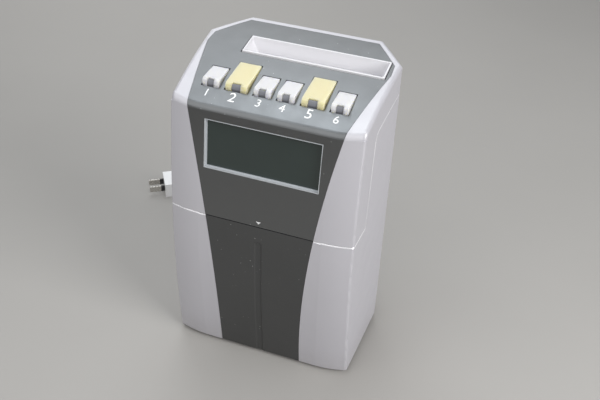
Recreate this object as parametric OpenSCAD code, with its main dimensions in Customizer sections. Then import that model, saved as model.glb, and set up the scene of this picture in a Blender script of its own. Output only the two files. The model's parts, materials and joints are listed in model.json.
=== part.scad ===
// Electronic time clock: a table-top card stamping clock with six keys,
// a display and a card slot in the top. Millimetres, front towards -Y.

/* [Body] */
// height of the top at its back edge
body_h = 255; // [250:1:260]
// depth from the front bulge to the back face
body_d = 123; // [121:1:128]
// width across the front edges at the lip
lip_w = 147; // [145:1:152]
// angle by which each side opens towards the back
side_flare = 2.9; // [2.5:0.1:3.3]
// angle by which each side opens towards the bottom
side_draft = 0.75; // [0.6:0.05:0.9]
// radius of the front in the side view
front_r = 820; // [780:10:880]
// height of the most forward line of the front
front_z = 115; // [108:1:122]
// width of the flat middle of the front
bow_flat = 97; // [92:1:102]
// radius of the front beside its flat middle
bow_r = 85; // [78:1:95]
// radius of the arched top
top_r = 360; // [345:5:380]
// rounding of the lip between front and top
lip_r = 7; // [5.5:0.5:8.5]
// rounding of the edges round the top
edge_r = 3; // [2:0.25:3.5]
// rounding of the edges between front and sides
front_edge_r = 2.5; // [1.5:0.25:3]
// width of the back face between its corner chamfers
back_w = 109; // [106:1:112]
// angle of the corner chamfers from the side view plane
corner_angle = 36.4; // [35:0.2:38]
// wall of the mouldings
wall = 2.5; // [2.2:0.1:2.8]
// height of the body over the table
foot_h = 4; // [3:0.5:5]

/* [Parting and panels] */
// height of the joint between cover and case
seam_z = 144.7; // [142:0.1:147]
// width of the joint between cover and case
seam_gap = 0.5; // [0.4:0.1:0.6]
// width of the step along the case's edge at the joint
seam_step = 0.5; // [0.4:0.1:0.6]
// depth of the cover's skirt behind the front
skirt_d = 30.5; // [29:0.5:32]
// height of the cover's skirt at its inner corner
skirt_h = 19.5; // [18.5:0.5:21]
// thickness of the grey panels
panel_t = 1.3; // [1.1:0.1:1.5]
// grey panel beside the lower corners of the display
panel_side = 5; // [4:0.2:6]
// radius of the grey panel's side edge
panel_r = 1028; // [980:10:1080]
// gap round the grey panels
panel_gap = 0.2; // [0.15:0.05:0.25]
// width of the groove in the lower panel
groove_w = 4.6; // [4:0.2:5.2]
// depth of the groove in the lower panel
groove_d = 0.7; // [0.5:0.1:0.8]

/* [Display] */
// width of the display opening
disp_w = 90; // [88:0.5:92]
// height of the display opening
disp_h = 40; // [38:0.5:42]
// middle of the display below the lip
disp_drop = 30.4; // [28:0.2:32]
// depth of the display window behind the front
disp_sink = 3.6; // [3.2:0.1:4]

/* [Keys] */
// width of the four small keys
key_w = 13.2; // [12.6:0.1:13.8]
// width of the two large keys
key_big_w = 17.2; // [16.6:0.1:17.8]
// length of the four small keys
key_l = 21.5; // [20.5:0.5:22.5]
// length of the two large keys
key_big_l = 31; // [29.5:0.5:32]
// distance between neighbouring keys
key_space = 4.8; // [4.5:0.1:5]
// height of the keys at the front
key_front = 4.6; // [4:0.1:5]
// height of the keys at the back
key_back = 1.4; // [1.1:0.1:1.8]
// gap round each key
key_gap = 0.6; // [0.5:0.05:0.7]
// slant of the plan corners of the keys
key_corner = 0.9; // [0.7:0.1:1.1]
// travel of the keys
key_travel = 1.5; // [1.2:0.1:1.8]

/* [Card way] */
// white and grey beside the right end of the card funnel
funnel_side = 7.6; // [7:0.2:9]
// width of the card funnel
funnel_w = 111; // [109:0.5:112]
// depth of the card funnel
funnel_d = 21.6; // [20.8:0.2:22.4]
// distance from the card funnel to the back face
funnel_back = 30.9; // [30:0.2:33]
// gap between the two card guides
card_gap = 3; // [2.6:0.1:3.4]
// diameter of the feed rollers
feed_d = 16; // [15.6:0.1:16.4]
// travel of the print carriage to either side
head_travel = 24; // [20:1:24]

/* [Mains cord] */
// diameter of the cord
cord_d = 6; // [5.8:0.1:6.2]

/* [Hidden] */
$fn = 96;
eps = 0.02;
lip_eps = 0.07;
run = 0.06;
fit = 0.02;

back_y = body_d / 2;
front_cy = front_r - body_d / 2;
top_cy = back_y + 3;
top_cz = body_h - top_r;
lip_y = -body_d / 2 + 13;
lip_z = top_cz + sqrt(pow(top_r, 2) - pow(lip_y - top_cy, 2));
flare = tan(side_flare);
draft = tan(side_draft);
hinge_r = 3.5;
hinge_y = back_y - hinge_r;
hinge_z = body_h - 9;
floor_z = foot_h + wall;

function top_z(y, d = 0) = top_cz + sqrt(pow(top_r - d, 2) - pow(y - top_cy, 2));
function front_y(z, d = 0) = front_cy - sqrt(pow(front_r - d, 2) - pow(z - front_z, 2));
function side_x(y, z) = lip_w / 2 + flare * (y - lip_y) + draft * (lip_z - z);
function panel_bend(z) = panel_r - sqrt(pow(panel_r, 2) - pow(z - panel_foot, 2));
function panel_edge(z) = panel_x + panel_bend(z);
function unit(v) = v / norm(v);

// centre of the lip rounding, from the two circles it runs into
lip_rt = top_r - lip_r + lip_eps;
lip_rf = front_r - lip_r + lip_eps;
top_c = [top_cy, top_cz];
front_c = [front_cy, front_z];
lip_base = norm(front_c - top_c);
lip_a = (pow(lip_rt, 2) - pow(lip_rf, 2) + pow(lip_base, 2)) / (2 * lip_base);
lip_b = sqrt(pow(lip_rt, 2) - pow(lip_a, 2));
lip_u = unit(front_c - top_c);
lip_c = top_c + lip_a * lip_u + lip_b * [-lip_u[1], lip_u[0]];
lip_up = unit(lip_c - top_c);
lip_fore = unit(lip_c - front_c);
lip_in = [lip_up[1], -lip_up[0]];
lip_bend = (bow_r - lip_r) * (-lip_fore * lip_in);

// card funnel
funnel_room = 0.9;
funnel_y = back_y - funnel_back - funnel_d / 2;
slot_x = side_x(funnel_y, body_h) - funnel_side - funnel_w / 2;

// keys: frame on the slope of the top
key_room = funnel_y - funnel_d / 2 - funnel_room - lip_y - key_big_l;
key_y = lip_y + 0.5625 * key_room;
key_z = top_z(key_y);
key_tilt = atan((top_z(key_y + 25) - key_z) / 25);
big = [0, 1, 0, 0, 1, 0];
key_x3 = (key_w + key_space) / 2;
key_x2 = key_x3 + (key_w + key_big_w) / 2 + key_space;
key_x1 = key_x2 + (key_w + key_big_w) / 2 + key_space;
key_xs = [-key_x1, -key_x2, -key_x3, key_x3, key_x2, key_x1];
function key_width(i) = big[i] == 1 ? key_big_w : key_w;
function key_length(i) = big[i] == 1 ? key_big_l : key_l;
function notch_w(i) = 0.42 * key_width(i);
notch_l = 4.4;
flange_n = -wall - 0.9;
flange_t = 1.4;
board_n = -15;
board_t = 1.6;

// display frame on the lean of the front
disp_z = lip_z - disp_drop;
disp_y = front_y(disp_z);
disp_lean = atan((front_y(disp_z + 20) - front_y(disp_z - 20)) / 40);
bezel_t = 1.1;
rim_t = 0.5;
lens_t = 1.5;

// grey panel: narrowest at its foot, wide enough for the display
panel_foot = 14;
panel_x = disp_w / 2 + panel_side - panel_bend(disp_z - disp_h / 2);

// card way and mechanism, hung below the card funnel
funnel_z = top_z(funnel_y + funnel_d / 2) + 0.8;
funnel_h = 25;
slot_y = funnel_y + funnel_d / 2 - 5.2;
slot_w = funnel_w - 21;
guide_t = 1.2;
plate_t = 1.5;
frame_w = funnel_w - 11;
frame_x0 = slot_x - frame_w / 2;
frame_x1 = slot_x + frame_w / 2;
in_x0 = frame_x0 + plate_t;
in_x1 = frame_x1 - plate_t;
frame_y0 = slot_y - 37;
frame_y1 = slot_y + 14;
frame_top = funnel_z - funnel_h;
guide_z0 = floor_z + 40;
feed_z = frame_top - 79.7;
feed_y = slot_y - 0.25 - feed_d / 2;
pinch_d = 10;
pinch_y = slot_y + 0.25 + pinch_d / 2;
shaft_d = 5;
pinch_shaft_d = 4;
gear_m = 0.8;
gear_n = 40;
pinion_n = 10;
gear_dist = gear_m * (gear_n + pinion_n) / 2 + 0.2;
motor_y = feed_y - gear_dist * cos(45);
motor_z = feed_z - gear_dist * sin(45);
rod_d = 6;
bar_y = slot_y - 20.4;
head_z = frame_top - 26.2;
rod_z = head_z - 17;
belt_y = bar_y - 2;
belt_w = 4;
belt_t = 1;
pulley_r = 6;
belt_z = rod_z - 15;
belt_top = belt_z + pulley_r + 0.1;
pulley_x0 = in_x0 + 13.5;
pulley_x1 = in_x1 - 13.5;

// main board behind the lower front
board_y = -body_d / 2 + 14;
board_w = lip_w - 35;
board_z0 = floor_z + 12;
board_h = seam_z - board_z0 - 22.2;

// cord: exit, coil and plug places
cord_r = cord_d / 2;
cord_x = 16.5 - back_w / 2;
cord_z = 14;
relief_l = 30;
coil_in = 4 * cord_d;
coil_step = cord_d + 0.6;
coil_turns = 7.343;
coil_out = coil_in + coil_step * coil_turns / 2;
coil_z = 1.2 + cord_r;
coil_c = [cord_x - coil_out, back_y + 72.6];
plug_dir = coil_turns * 360 + 90;

module side_view(w = 400) {
    rotate([90, 0, 90])
        linear_extrude(w, center = true)
            children();
}

module front_view(y0, y1) {
    translate([0, y1, 0])
        rotate([90, 0, 0])
            linear_extrude(y1 - y0)
                children();
}

module rod_x(r, x0, x1) {
    translate([x0, 0, 0])
        rotate([0, 90, 0])
            cylinder(r = r, h = x1 - x0);
}

module rod_y(r, y0, y1) {
    translate([0, y1, 0])
        rotate([90, 0, 0])
            cylinder(r = r, h = y1 - y0);
}

module block(a, b) {
    translate(a)
        cube(b - a);
}

module bow_cut(d, s) {
    difference() {
        translate([front_r - bow_r + eps, s > 0 ? bow_flat / 2 : -bow_flat / 2 - 120])
            square([bow_r * 1.4, 120]);
        translate([front_r - bow_r + eps, s * bow_flat / 2])
            circle(bow_r - d, $fn = 360);
    }
}

module front_solid(d) {
    translate([0, front_cy, front_z])
        rotate([0, 90, 0])
            rotate([0, 0, 250])
                rotate_extrude(angle = 40, $fn = 720)
                    difference() {
                        translate([front_r - d - 160, -100])
                            square([160, 200]);
                        bow_cut(d, 1);
                        bow_cut(d, -1);
                    }
}

module side_solid(d) {
    across = sqrt(1 + flare * flare + draft * draft);
    translate([lip_w / 2 - d * across, lip_y, lip_z])
        rotate([0, -atan(draft / sqrt(1 + flare * flare)), -atan(flare)])
            translate([-400, -400, -400])
                cube([400, 800, 800]);
}

module plan(d) {
    nx = cos(corner_angle);
    ny = sin(corner_angle);
    c = nx * back_w / 2 + ny * back_y - d;
    yb = back_y - d;
    x0 = (c - ny * yb) / nx;
    x1 = (c + ny * 130) / nx;
    polygon([[-x1, -130], [x1, -130], [x0, yb], [-x0, yb]]);
}

module lip_profile(d, c, up, fore) {
    difference() {
        polygon([c, c + 3 * lip_r * up, c + 3 * lip_r * (up + fore), c + 3 * lip_r * fore]);
        translate(c)
            circle(lip_r - d);
    }
}

module lip_cut(d) {
    c = lip_c + lip_bend * lip_in;
    side_view(bow_flat)
        lip_profile(d, lip_c, lip_up, lip_fore);
    for (s = [0, 1])
        mirror([s, 0, 0])
            translate([bow_flat / 2, c[0], c[1]])
                rotate([atan2(lip_in[1], lip_in[0]), 0, 0])
                    rotate([0, 0, 270])
                        rotate_extrude(angle = 40, $fn = 720)
                            lip_profile(d, [lip_bend, 0], [0, 1], [-lip_fore * lip_in, lip_fore * lip_up]);
}

// the outer form of the body, drawn in by d on every side
module form(d, z0) {
    difference() {
        intersection() {
            front_solid(d);
            translate([0, top_cy, top_cz])
                rotate([0, 90, 0])
                    cylinder(r = top_r - d, h = 300, center = true, $fn = 720);
            side_solid(d);
            mirror([1, 0, 0])
                side_solid(d);
            translate([0, 0, z0])
                linear_extrude(300)
                    plan(d);
        }
        lip_cut(d);
    }
}

// rounded edges of the moulding: arcs in the plane of a side, and in that of a rear corner
side_turn = atan(flare);
side_lean = atan(draft / sqrt(1 + flare * flare));
side_0 = [lip_w / 2, lip_y, lip_z];
side_u = [sin(side_turn), cos(side_turn), 0];
side_w = [-sin(side_lean) * cos(side_turn), sin(side_lean) * sin(side_turn), cos(side_lean)];
function in_side(p) = [(p - side_0) * side_u, (p - side_0) * side_w];
function side_point(c) = in_side([side_x(c[0], c[1]), c[0], c[1]]);
function bow(x) = bow_r - sqrt(pow(bow_r, 2) - pow(max(0, x - bow_flat / 2), 2));
function edge_y(z, x) = front_cy - sqrt(pow(front_r - bow(x), 2) - pow(z - front_z, 2));
function edge_x(z, x, n) = n == 0 ? x : edge_x(z, side_x(edge_y(z, x), z), n - 1);
function edge_point(z) =
    let (x = edge_x(z, lip_w / 2, 5))
    in_side([x, edge_y(z, x), z]);
function crossing(p, q, m) =
    let (a = q - p, b = m - p, k = 2 * (a[0] * b[1] - a[1] * b[0]))
    p + [b[1] * (a * a) - a[1] * (b * b), a[0] * (b * b) - b[0] * (a * a)] / k;
front_c3 = crossing(edge_point(foot_h), edge_point((foot_h + lip_z) / 2), edge_point(lip_z - 4));
front_r3 = norm(edge_point(front_z) - front_c3);
front_slope = (edge_x(front_z, lip_w / 2, 5) - bow_flat / 2) / bow_r;
function heading(d) = atan2(d[0], -d[1]);

module edge_cut(c, arc_r, r, slope, a0, a1) {
    n = [1, slope] / norm([1, slope]);
    m = [arc_r + slope * r - r * norm([1, slope]) + eps, eps - r];
    translate([0, c[0], c[1]])
        rotate([0, 90, 0])
            rotate([0, 0, a0])
                rotate_extrude(angle = a1 - a0, $fn = 720)
                    difference() {
                        polygon([m, m + [0, 3 * r], m + [0, 3 * r] + 3 * r * n, m + 3 * r * n]);
                        translate(m)
                            circle(r);
                    }
}

module at_side() {
    translate(side_0)
        rotate([0, -side_lean, -side_turn])
            children();
}

module front_edges(d = 0) {
    for (s = [0, 1])
        mirror([s, 0, 0])
            at_side()
                translate([-d, 0, 0])
                    edge_cut(front_c3, front_r3 - d, front_edge_r - d, front_slope / sqrt(1 - pow(front_slope, 2)) + flare,
                        258, 279);
}

// the lip's centre where it reaches the side
lip_swing = asin((side_x(lip_c[0], lip_c[1]) - bow_flat / 2) / lip_bend);
lip_end = lip_c + lip_bend * (1 - cos(lip_swing)) * lip_in;

module side_edges() {
    a0 = heading(lip_end - top_c) + 360;
    for (s = [0, 1])
        mirror([s, 0, 0])
            at_side()
                edge_cut(side_point(top_c), top_r, edge_r, draft + flare / 5, 181, a0 + 0.2);
}

module lip_edges() {
    a0 = heading(lip_end - top_c) + 360;
    a1 = heading(side_point(lip_end) - front_c3) + 360;
    for (s = [0, 1])
        mirror([s, 0, 0])
            at_side()
                edge_cut(side_point(lip_end), lip_r, edge_r, front_slope / 2, a0 - 1, a1 + 1);
}

module rear_edges() {
    corner_k = 1 / pow(cos(corner_angle), 2);
    for (s = [0, 1])
        mirror([s, 0, 0])
            translate([back_w / 2, back_y, 0])
                rotate([0, 0, corner_angle])
                    edge_cut([(top_cy - back_y) / cos(corner_angle), body_h - top_r * corner_k],
                        top_r * corner_k, edge_r, -0.03, 179, 185.5);
}

module back_edge() {
    side_view()
        difference() {
            translate([back_y - edge_r + eps, body_h - edge_r + eps])
                square(3 * edge_r);
            translate([back_y - edge_r + eps, body_h - edge_r + eps])
                circle(edge_r);
        }
}

// the form with its upper edges rounded, one kind of edge after another
module soft_form() {
    difference() {
        difference() {
            difference() {
                difference() {
                    difference() {
                        form(0, foot_h);
                        back_edge();
                    }
                    rear_edges();
                }
                side_edges();
            }
            lip_edges();
        }
        front_edges();
    }
}

// everything under the joint between cover and case, in the side view
skirt_y0 = -body_d / 2 + skirt_d;
skirt_y1 = skirt_y0 + 7;
skirt_z1 = top_z(skirt_y1) - skirt_h;
skirt_y2 = back_y - 28;
skirt_z2 = skirt_z1 + 6.5;
skirt_r = 9;
skirt_in = unit([skirt_y0 - skirt_y1, seam_z - skirt_z1]);
skirt_out = unit([skirt_y2 - skirt_y1, skirt_z2 - skirt_z1]);
skirt_half = acos(skirt_in * skirt_out) / 2;
skirt_mid = unit(skirt_in + skirt_out);
skirt_c = [skirt_y1, skirt_z1] + skirt_mid * skirt_r / sin(skirt_half);
skirt_a0 = atan2(skirt_mid[1], skirt_mid[0]) + 180 + (90 - skirt_half);
skirt_sweep = 2 * (90 - skirt_half);

module under_joint(o) {
    arc = [for (i = [0 : 6])
        let (a = skirt_a0 - skirt_sweep * i / 6)
        skirt_c + (skirt_r + o) * [cos(a), sin(a)]];
    side_view()
        polygon(concat(
            [[-150, -50], [-150, seam_z + o], [skirt_y0 - o, seam_z + o]],
            arc,
            [[skirt_y2 - o, skirt_z2 + o], [skirt_y2 - o, hinge_z + o],
            [150, hinge_z + o], [150, -50]]));
}

// outline of the grey panel on front and top
panel_split = lip_y - 0.6;
panel_lap = 0.1;
panel_y3 = back_y - 47.2;
panel_y2 = back_y - 34.1;
panel_y1 = back_y - 6.5;

module panel_zone(g, z0, z1) {
    front_view(-120, panel_split + panel_lap)
        intersection() {
            translate([-100, z0])
                square([200, z1 - z0]);
            difference() {
                translate([-panel_x - 60, 0])
                    square([2 * panel_x + 120, 300]);
                for (s = [-1, 1])
                    translate([s * (panel_x + panel_r), panel_foot])
                        circle(panel_r + g, $fn = 1440);
            }
        }
}

module panel_top(g) {
    x4 = panel_edge(top_z(panel_split)) - g;
    x3 = side_x(panel_y3, body_h) - 3.6 - g;
    x2 = side_x(panel_y2, body_h) - 4.9 - g;
    x1 = back_w / 2 - 1.6 - g;
    translate([0, 0, seam_z])
        linear_extrude(200)
            polygon([[-x4, panel_split], [x4, panel_split], [x3, panel_y3], [x2, panel_y2],
                [x1, panel_y1 - g], [-x1, panel_y1 - g], [-x2, panel_y2], [-x3, panel_y3]]);
}

module at_keys() {
    translate([0, key_y, key_z])
        rotate([key_tilt, 0, 0])
            children();
}

module at_display() {
    translate([0, disp_y, disp_z])
        rotate([-disp_lean, 0, 0])
            children();
}

module key_holes() {
    at_keys()
        for (i = [0 : 5])
            translate([key_xs[i] - key_width(i) / 2 - key_gap, -key_gap, -9])
                cube([key_width(i) + 2 * key_gap, key_length(i) + 2 * key_gap, 18]);
}

module display_hole(g) {
    at_display()
        block([-disp_w / 2 - g, -9, -disp_h / 2 - g], [disp_w / 2 + g, 12, disp_h / 2 + g]);
}

module funnel_hole() {
    block([slot_x - funnel_w / 2 - funnel_room, funnel_y - funnel_d / 2 - funnel_room, seam_z],
        [slot_x + funnel_w / 2 + funnel_room, funnel_y + funnel_d / 2 + funnel_room, body_h + 9]);
}

key_post_x = lip_w / 2 - 9;
key_posts = [for (x = [-key_post_x, key_post_x], y = [3, key_big_l - 1]) [x, y]];
lcd_post_x = disp_w / 2 + 7;
lcd_post_z = 11;
lcd_back = 10;

// white upper cover: top, upper front and skirts, on the rear hinge
module upper_cover() {
    color("#e8e6ee")
        difference() {
            union() {
                difference() {
                    soft_form();
                    form(wall, -20);
                    under_joint(seam_gap / 2);
                    block([hinge_x0, back_y - 9, 100], [90, back_y + 9, hinge_z + 4.4]);
                    block([-90, back_y - 9, 100], [-hinge_x0, back_y + 9, hinge_z + 4.4]);
                    difference() {
                        union() {
                            panel_zone(0, seam_z - 9, 300);
                            panel_top(0);
                        }
                        form(panel_t, -20);
                    }
                }
                translate([0, hinge_y, hinge_z])
                    rod_x(hinge_r, -hinge_x0, hinge_x0);
                at_keys()
                    for (p = key_posts)
                        translate([p[0], p[1], board_n])
                            cylinder(r = 3, h = -board_n - wall + 0.6);
                intersection() {
                    form(wall - 0.6, foot_h);
                    at_display()
                        for (sx = [-1, 1], sz = [-1, 1])
                            translate([sx * lcd_post_x, 0, sz * lcd_post_z])
                                rod_y(3, -9, lcd_back);
                }
            }
            key_holes();
            display_hole(0);
            funnel_hole();
            translate([0, hinge_y, hinge_z])
                rod_x(1.5 + run, -90, 90);
            at_keys()
                for (p = key_posts)
                    translate([p[0], p[1], board_n - 1])
                        cylinder(r = 1.2 + fit, h = 9);
            at_display()
                for (sx = [-1, 1], sz = [-1, 1])
                    translate([sx * lcd_post_x, 0, sz * lcd_post_z])
                        rod_y(1.2 + fit, lcd_back - 6, lcd_back + 1);
        }
}

// grey panel let into the upper cover
module upper_panel() {
    color("#6b6e70")
        difference() {
            intersection() {
                form(0, foot_h);
                union() {
                    panel_zone(panel_gap, seam_z + seam_gap / 2, 300);
                    panel_top(panel_gap);
                }
            }
            form(panel_t, -20);
            key_holes();
            display_hole(0);
            funnel_hole();
        }
}

// white lower case: lower front, sides and back in one moulding
hinge_x0 = back_w / 2 - 9;
case_posts = [for (s = [-1, 1], y = [lip_y + 10, back_y - 37])
    [s * (side_x(y, 10) - wall - 3.2), y]];
board_posts = [for (s = [-1, 1], z = [board_z0 + 6, board_z0 + board_h - 6])
    [s * (board_w / 2 - 6), z]];
hang_x = 35;
hang_z = body_h - 60;

module joint_step() {
    difference() {
        block([-120, -120, seam_z - 9], [120, skirt_y2 + 1, body_h]);
        under_joint(-seam_gap / 2 - seam_step);
        difference() {
            form(seam_step, -20);
            front_edges(seam_step);
        }
    }
}

module main_case() {
    color("#e8e6ee")
        difference() {
            union() {
                difference() {
                    intersection() {
                        form(0, foot_h);
                        under_joint(-seam_gap / 2);
                    }
                    form(wall, -20);
                    front_edges();
                    joint_step();
                    block([-hinge_x0 - 0.4, back_y - 30, hinge_z - 4.1],
                        [hinge_x0 + 0.4, back_y + 9, hinge_z + 9]);
                    difference() {
                        panel_zone(0, -9, 300);
                        form(panel_t, -20);
                    }
                }
                for (s = [-1, 1])
                    translate([s * (hinge_x0 + 3.4), hinge_y, hinge_z]) {
                        rod_x(hinge_r - 0.1, -3, 3);
                        block([-3, 0, -9], [3, hinge_r - 0.1, 0]);
                    }
                intersection() {
                    form(wall - 0.8, foot_h);
                    union() {
                        for (p = case_posts)
                            translate([p[0], p[1], floor_z])
                                cylinder(r = 4.5, h = 26);
                        for (p = board_posts)
                            translate([p[0], 0, p[1]])
                                rod_y(3.5, -90, board_y);
                    }
                }
            }
            translate([0, hinge_y, hinge_z])
                rod_x(1.5 + fit, -90, 90);
            for (p = case_posts)
                translate([p[0], p[1], 0])
                    cylinder(r = 1.5 + fit, h = floor_z + 14);
            for (p = board_posts)
                translate([p[0], 0, p[1]])
                    rod_y(1.2 + fit, board_y - 6, board_y + 1);
            for (s = [-1, 1])
                translate([s * hang_x, 0, hang_z]) {
                    rod_y(4.5, back_y - 9, back_y + 9);
                    translate([0, 0, 8])
                        rod_y(2.2, back_y - 9, back_y + 9);
                    block([-2.2, back_y - 9, 0], [2.2, back_y + 9, 8]);
                }
            translate([cord_x, 0, cord_z])
                rod_y(4.5 + fit, back_y - 9, back_y + 9);
        }
}

// grey panel let into the lower front, with its groove
module lower_panel() {
    color("#4a4a48")
        difference() {
            intersection() {
                form(0, foot_h);
                panel_zone(panel_gap, -9, seam_z - seam_gap / 2);
            }
            form(panel_t, -20);
            difference() {
                union() {
                    block([-groove_w / 2, -120, -9], [groove_w / 2, 0, seam_z - 15 - groove_w / 2]);
                    translate([0, 0, seam_z - 15 - groove_w / 2])
                        rod_y(groove_w / 2, -120, 0);
                }
                form(groove_d, -20);
            }
        }
}

// closing plate of the case
chassis_holes = [for (x = [frame_x0 + 10, frame_x1 - 10], y = [frame_y0 + 8, frame_y1 - 20]) [x, y]];

module base_plate() {
    color("#3a3a3c")
        difference() {
            form(wall + 0.25, foot_h);
            block([-200, -200, floor_z], [200, 200, 400]);
            for (p = concat(case_posts, chassis_holes))
                translate([p[0], p[1], 0])
                    cylinder(r = 1.5 + run, h = 20);
            for (p = concat(case_posts, chassis_holes))
                translate([p[0], p[1], 0])
                    cylinder(r = 3.1, h = foot_h + 1);
            for (p = foot_places)
                translate([p[0], p[1], 0])
                    cylinder(r = 2.5 + fit, h = 20);
        }
}

// rubber feet pressed into the base plate
foot_x = lip_w / 2 - 21.5;
foot_places = [for (x = [-foot_x, foot_x], y = [lip_y + 14, back_y - 24]) [x, y]];

module rubber_feet() {
    color("#1e1e1e")
        for (p = foot_places)
            translate([p[0], p[1], 0]) {
                cylinder(r1 = 7, r2 = 8, h = 1);
                translate([0, 0, 1])
                    cylinder(r = 8, h = foot_h - 1);
                cylinder(r = 2.5, h = floor_z);
            }
}

module case_screws() {
    color("#b9bcc0")
        for (p = concat(case_posts, chassis_holes))
            translate([p[0], p[1], foot_h - 1.2]) {
                cylinder(r = 2.8, h = 2.2);
                cylinder(r = 1.5, h = 9);
            }
}

// display: frame, window and module, carried by the cover
module display_bezel() {
    o = 0.15;
    color("#c9ccd0")
        at_display()
            difference() {
                block([-disp_w / 2 + o, 0.15, -disp_h / 2 + o],
                    [disp_w / 2 - o, disp_sink + lens_t + 2, disp_h / 2 - o]);
                block([-disp_w / 2 + o + rim_t, -9, -disp_h / 2 + o + rim_t],
                    [disp_w / 2 - o - rim_t, disp_sink - 0.8, disp_h / 2 - o - rim_t]);
                block([-disp_w / 2 + o + bezel_t, -9, -disp_h / 2 + o + bezel_t],
                    [disp_w / 2 - o - bezel_t, disp_sink, disp_h / 2 - o - bezel_t]);
                block([-disp_w / 2 + o + 0.6, disp_sink, -disp_h / 2 + o + 0.6],
                    [disp_w / 2 - o - 0.6, disp_sink + lens_t, disp_h / 2 - o - 0.6]);
                block([-disp_w / 2 + o + 2, disp_sink, -disp_h / 2 + o + 2],
                    [disp_w / 2 - o - 2, 20, disp_h / 2 - o - 2]);
            }
}

module display_lens() {
    o = 0.15 + 0.6 + 0.05;
    color("#3d463e")
        at_display()
            block([-disp_w / 2 + o, disp_sink + 0.02, -disp_h / 2 + o],
                [disp_w / 2 - o, disp_sink + lens_t - 0.02, disp_h / 2 - o]);
}

module lcd_module() {
    y0 = disp_sink + lens_t + 2;
    color("#5d6a5c")
        at_display()
            difference() {
                union() {
                    block([-disp_w / 2 + 3, y0, -disp_h / 2 + 3],
                        [disp_w / 2 - 3, lcd_back, disp_h / 2 - 3]);
                    block([-lcd_post_x - 4.5, lcd_back, -disp_h / 2],
                        [lcd_post_x + 4.5, lcd_back + 1.6, disp_h / 2]);
                }
                for (sx = [-1, 1], sz = [-1, 1])
                    translate([sx * lcd_post_x, 0, sz * lcd_post_z])
                        rod_y(1.2 + run, 0, 20);
            }
}

// six keys, the wedge top over a flanged root and a switch stem
module key_cap(i) {
    w = key_width(i);
    l = key_length(i);
    at_keys()
        translate([key_xs[i], 0, 0])
            difference() {
                union() {
                    rotate([90, 0, 90])
                        translate([0, 0, -w / 2])
                            linear_extrude(w)
                                polygon([[0, flange_n - flange_t], [0, 0.6], [0.7, 2.2],
                                    [1.9, key_front - 0.7], [3.4, key_front],
                                    [l - 0.5, key_back + 0.05], [l, key_back - 0.5],
                                    [l, flange_n - flange_t]]);
                    block([-w / 2 - 1.5, -1.5, flange_n - flange_t], [w / 2 + 1.5, l + 1.5, flange_n]);
                    translate([0, l / 2 + 2, board_n + 4.5])
                        cylinder(r = 1.5, h = 9);
                }
                block([-notch_w(i) / 2, -9, -20], [notch_w(i) / 2, notch_l, 20]);
                key_corners(w, l);
            }
}

// slanted plan corners of a key
module key_corners(w, l) {
    for (c = [[1, 0, -45], [1, 1, 45], [-1, 0, -135], [-1, 1, 135]])
        translate([c[0] * w / 2, c[1] * l, flange_n + 0.1])
            rotate([0, 0, c[2]])
                block([-key_corner / sqrt(2), -3, 0], [3, 3, 9]);
}

module key_1() {
    color("#f2f2f4")
        key_cap(0);
}

module key_2() {
    color("#f6e9b0")
        key_cap(1);
}

module key_3() {
    color("#f2f2f4")
        key_cap(2);
}

module key_4() {
    color("#f2f2f4")
        key_cap(3);
}

module key_5() {
    color("#f6e9b0")
        key_cap(4);
}

module key_6() {
    color("#f2f2f4")
        key_cap(5);
}

// smoked lamp windows standing on the key board in the key notches
module lamp_windows() {
    color("#5c5f66")
        at_keys()
            for (i = [0 : 5])
                translate([key_xs[i], 0, 0])
                    rotate([90, 0, 90])
                        translate([0, 0, -notch_w(i) / 2 + 0.3])
                            linear_extrude(notch_w(i) - 0.6)
                                polygon([[0.5, board_n], [notch_l - 0.4, board_n],
                                    [notch_l - 0.4, key_front - 1.1], [2.6, key_front - 1.2],
                                    [0.9, 1.4], [0.5, 0.2]]);
}

module key_board() {
    color("#2f6b3c")
        at_keys()
            difference() {
                block([-key_post_x - 3.6, -3.4, board_n - board_t],
                    [key_post_x + 3.6, key_big_l + 2.2, board_n]);
                for (p = key_posts)
                    translate([p[0], p[1], board_n - 9])
                        cylinder(r = 1.2 + run, h = 20);
            }
}

module key_switches() {
    color("#1c1c1e")
        at_keys()
            for (i = [0 : 5])
                translate([key_xs[i], key_length(i) / 2 + 2, board_n])
                    difference() {
                        translate([-3, -3, 0])
                            cube([6, 6, 5]);
                        translate([0, 0, 0.6])
                            cylinder(r = 1.9, h = 9);
                    }
}

module cover_screws() {
    color("#b9bcc0") {
        at_keys()
            for (p = key_posts)
                translate([p[0], p[1], board_n - board_t]) {
                    translate([0, 0, -1.8])
                        cylinder(r = 2.3, h = 1.8);
                    cylinder(r = 1.2, h = 7);
                }
        at_display()
            for (sx = [-1, 1], sz = [-1, 1])
                translate([sx * lcd_post_x, 0, sz * lcd_post_z]) {
                    rod_y(2.3, lcd_back + 1.6, lcd_back + 3.4);
                    rod_y(1.2, lcd_back - 4, lcd_back + 1.6);
                }
    }
}

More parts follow.
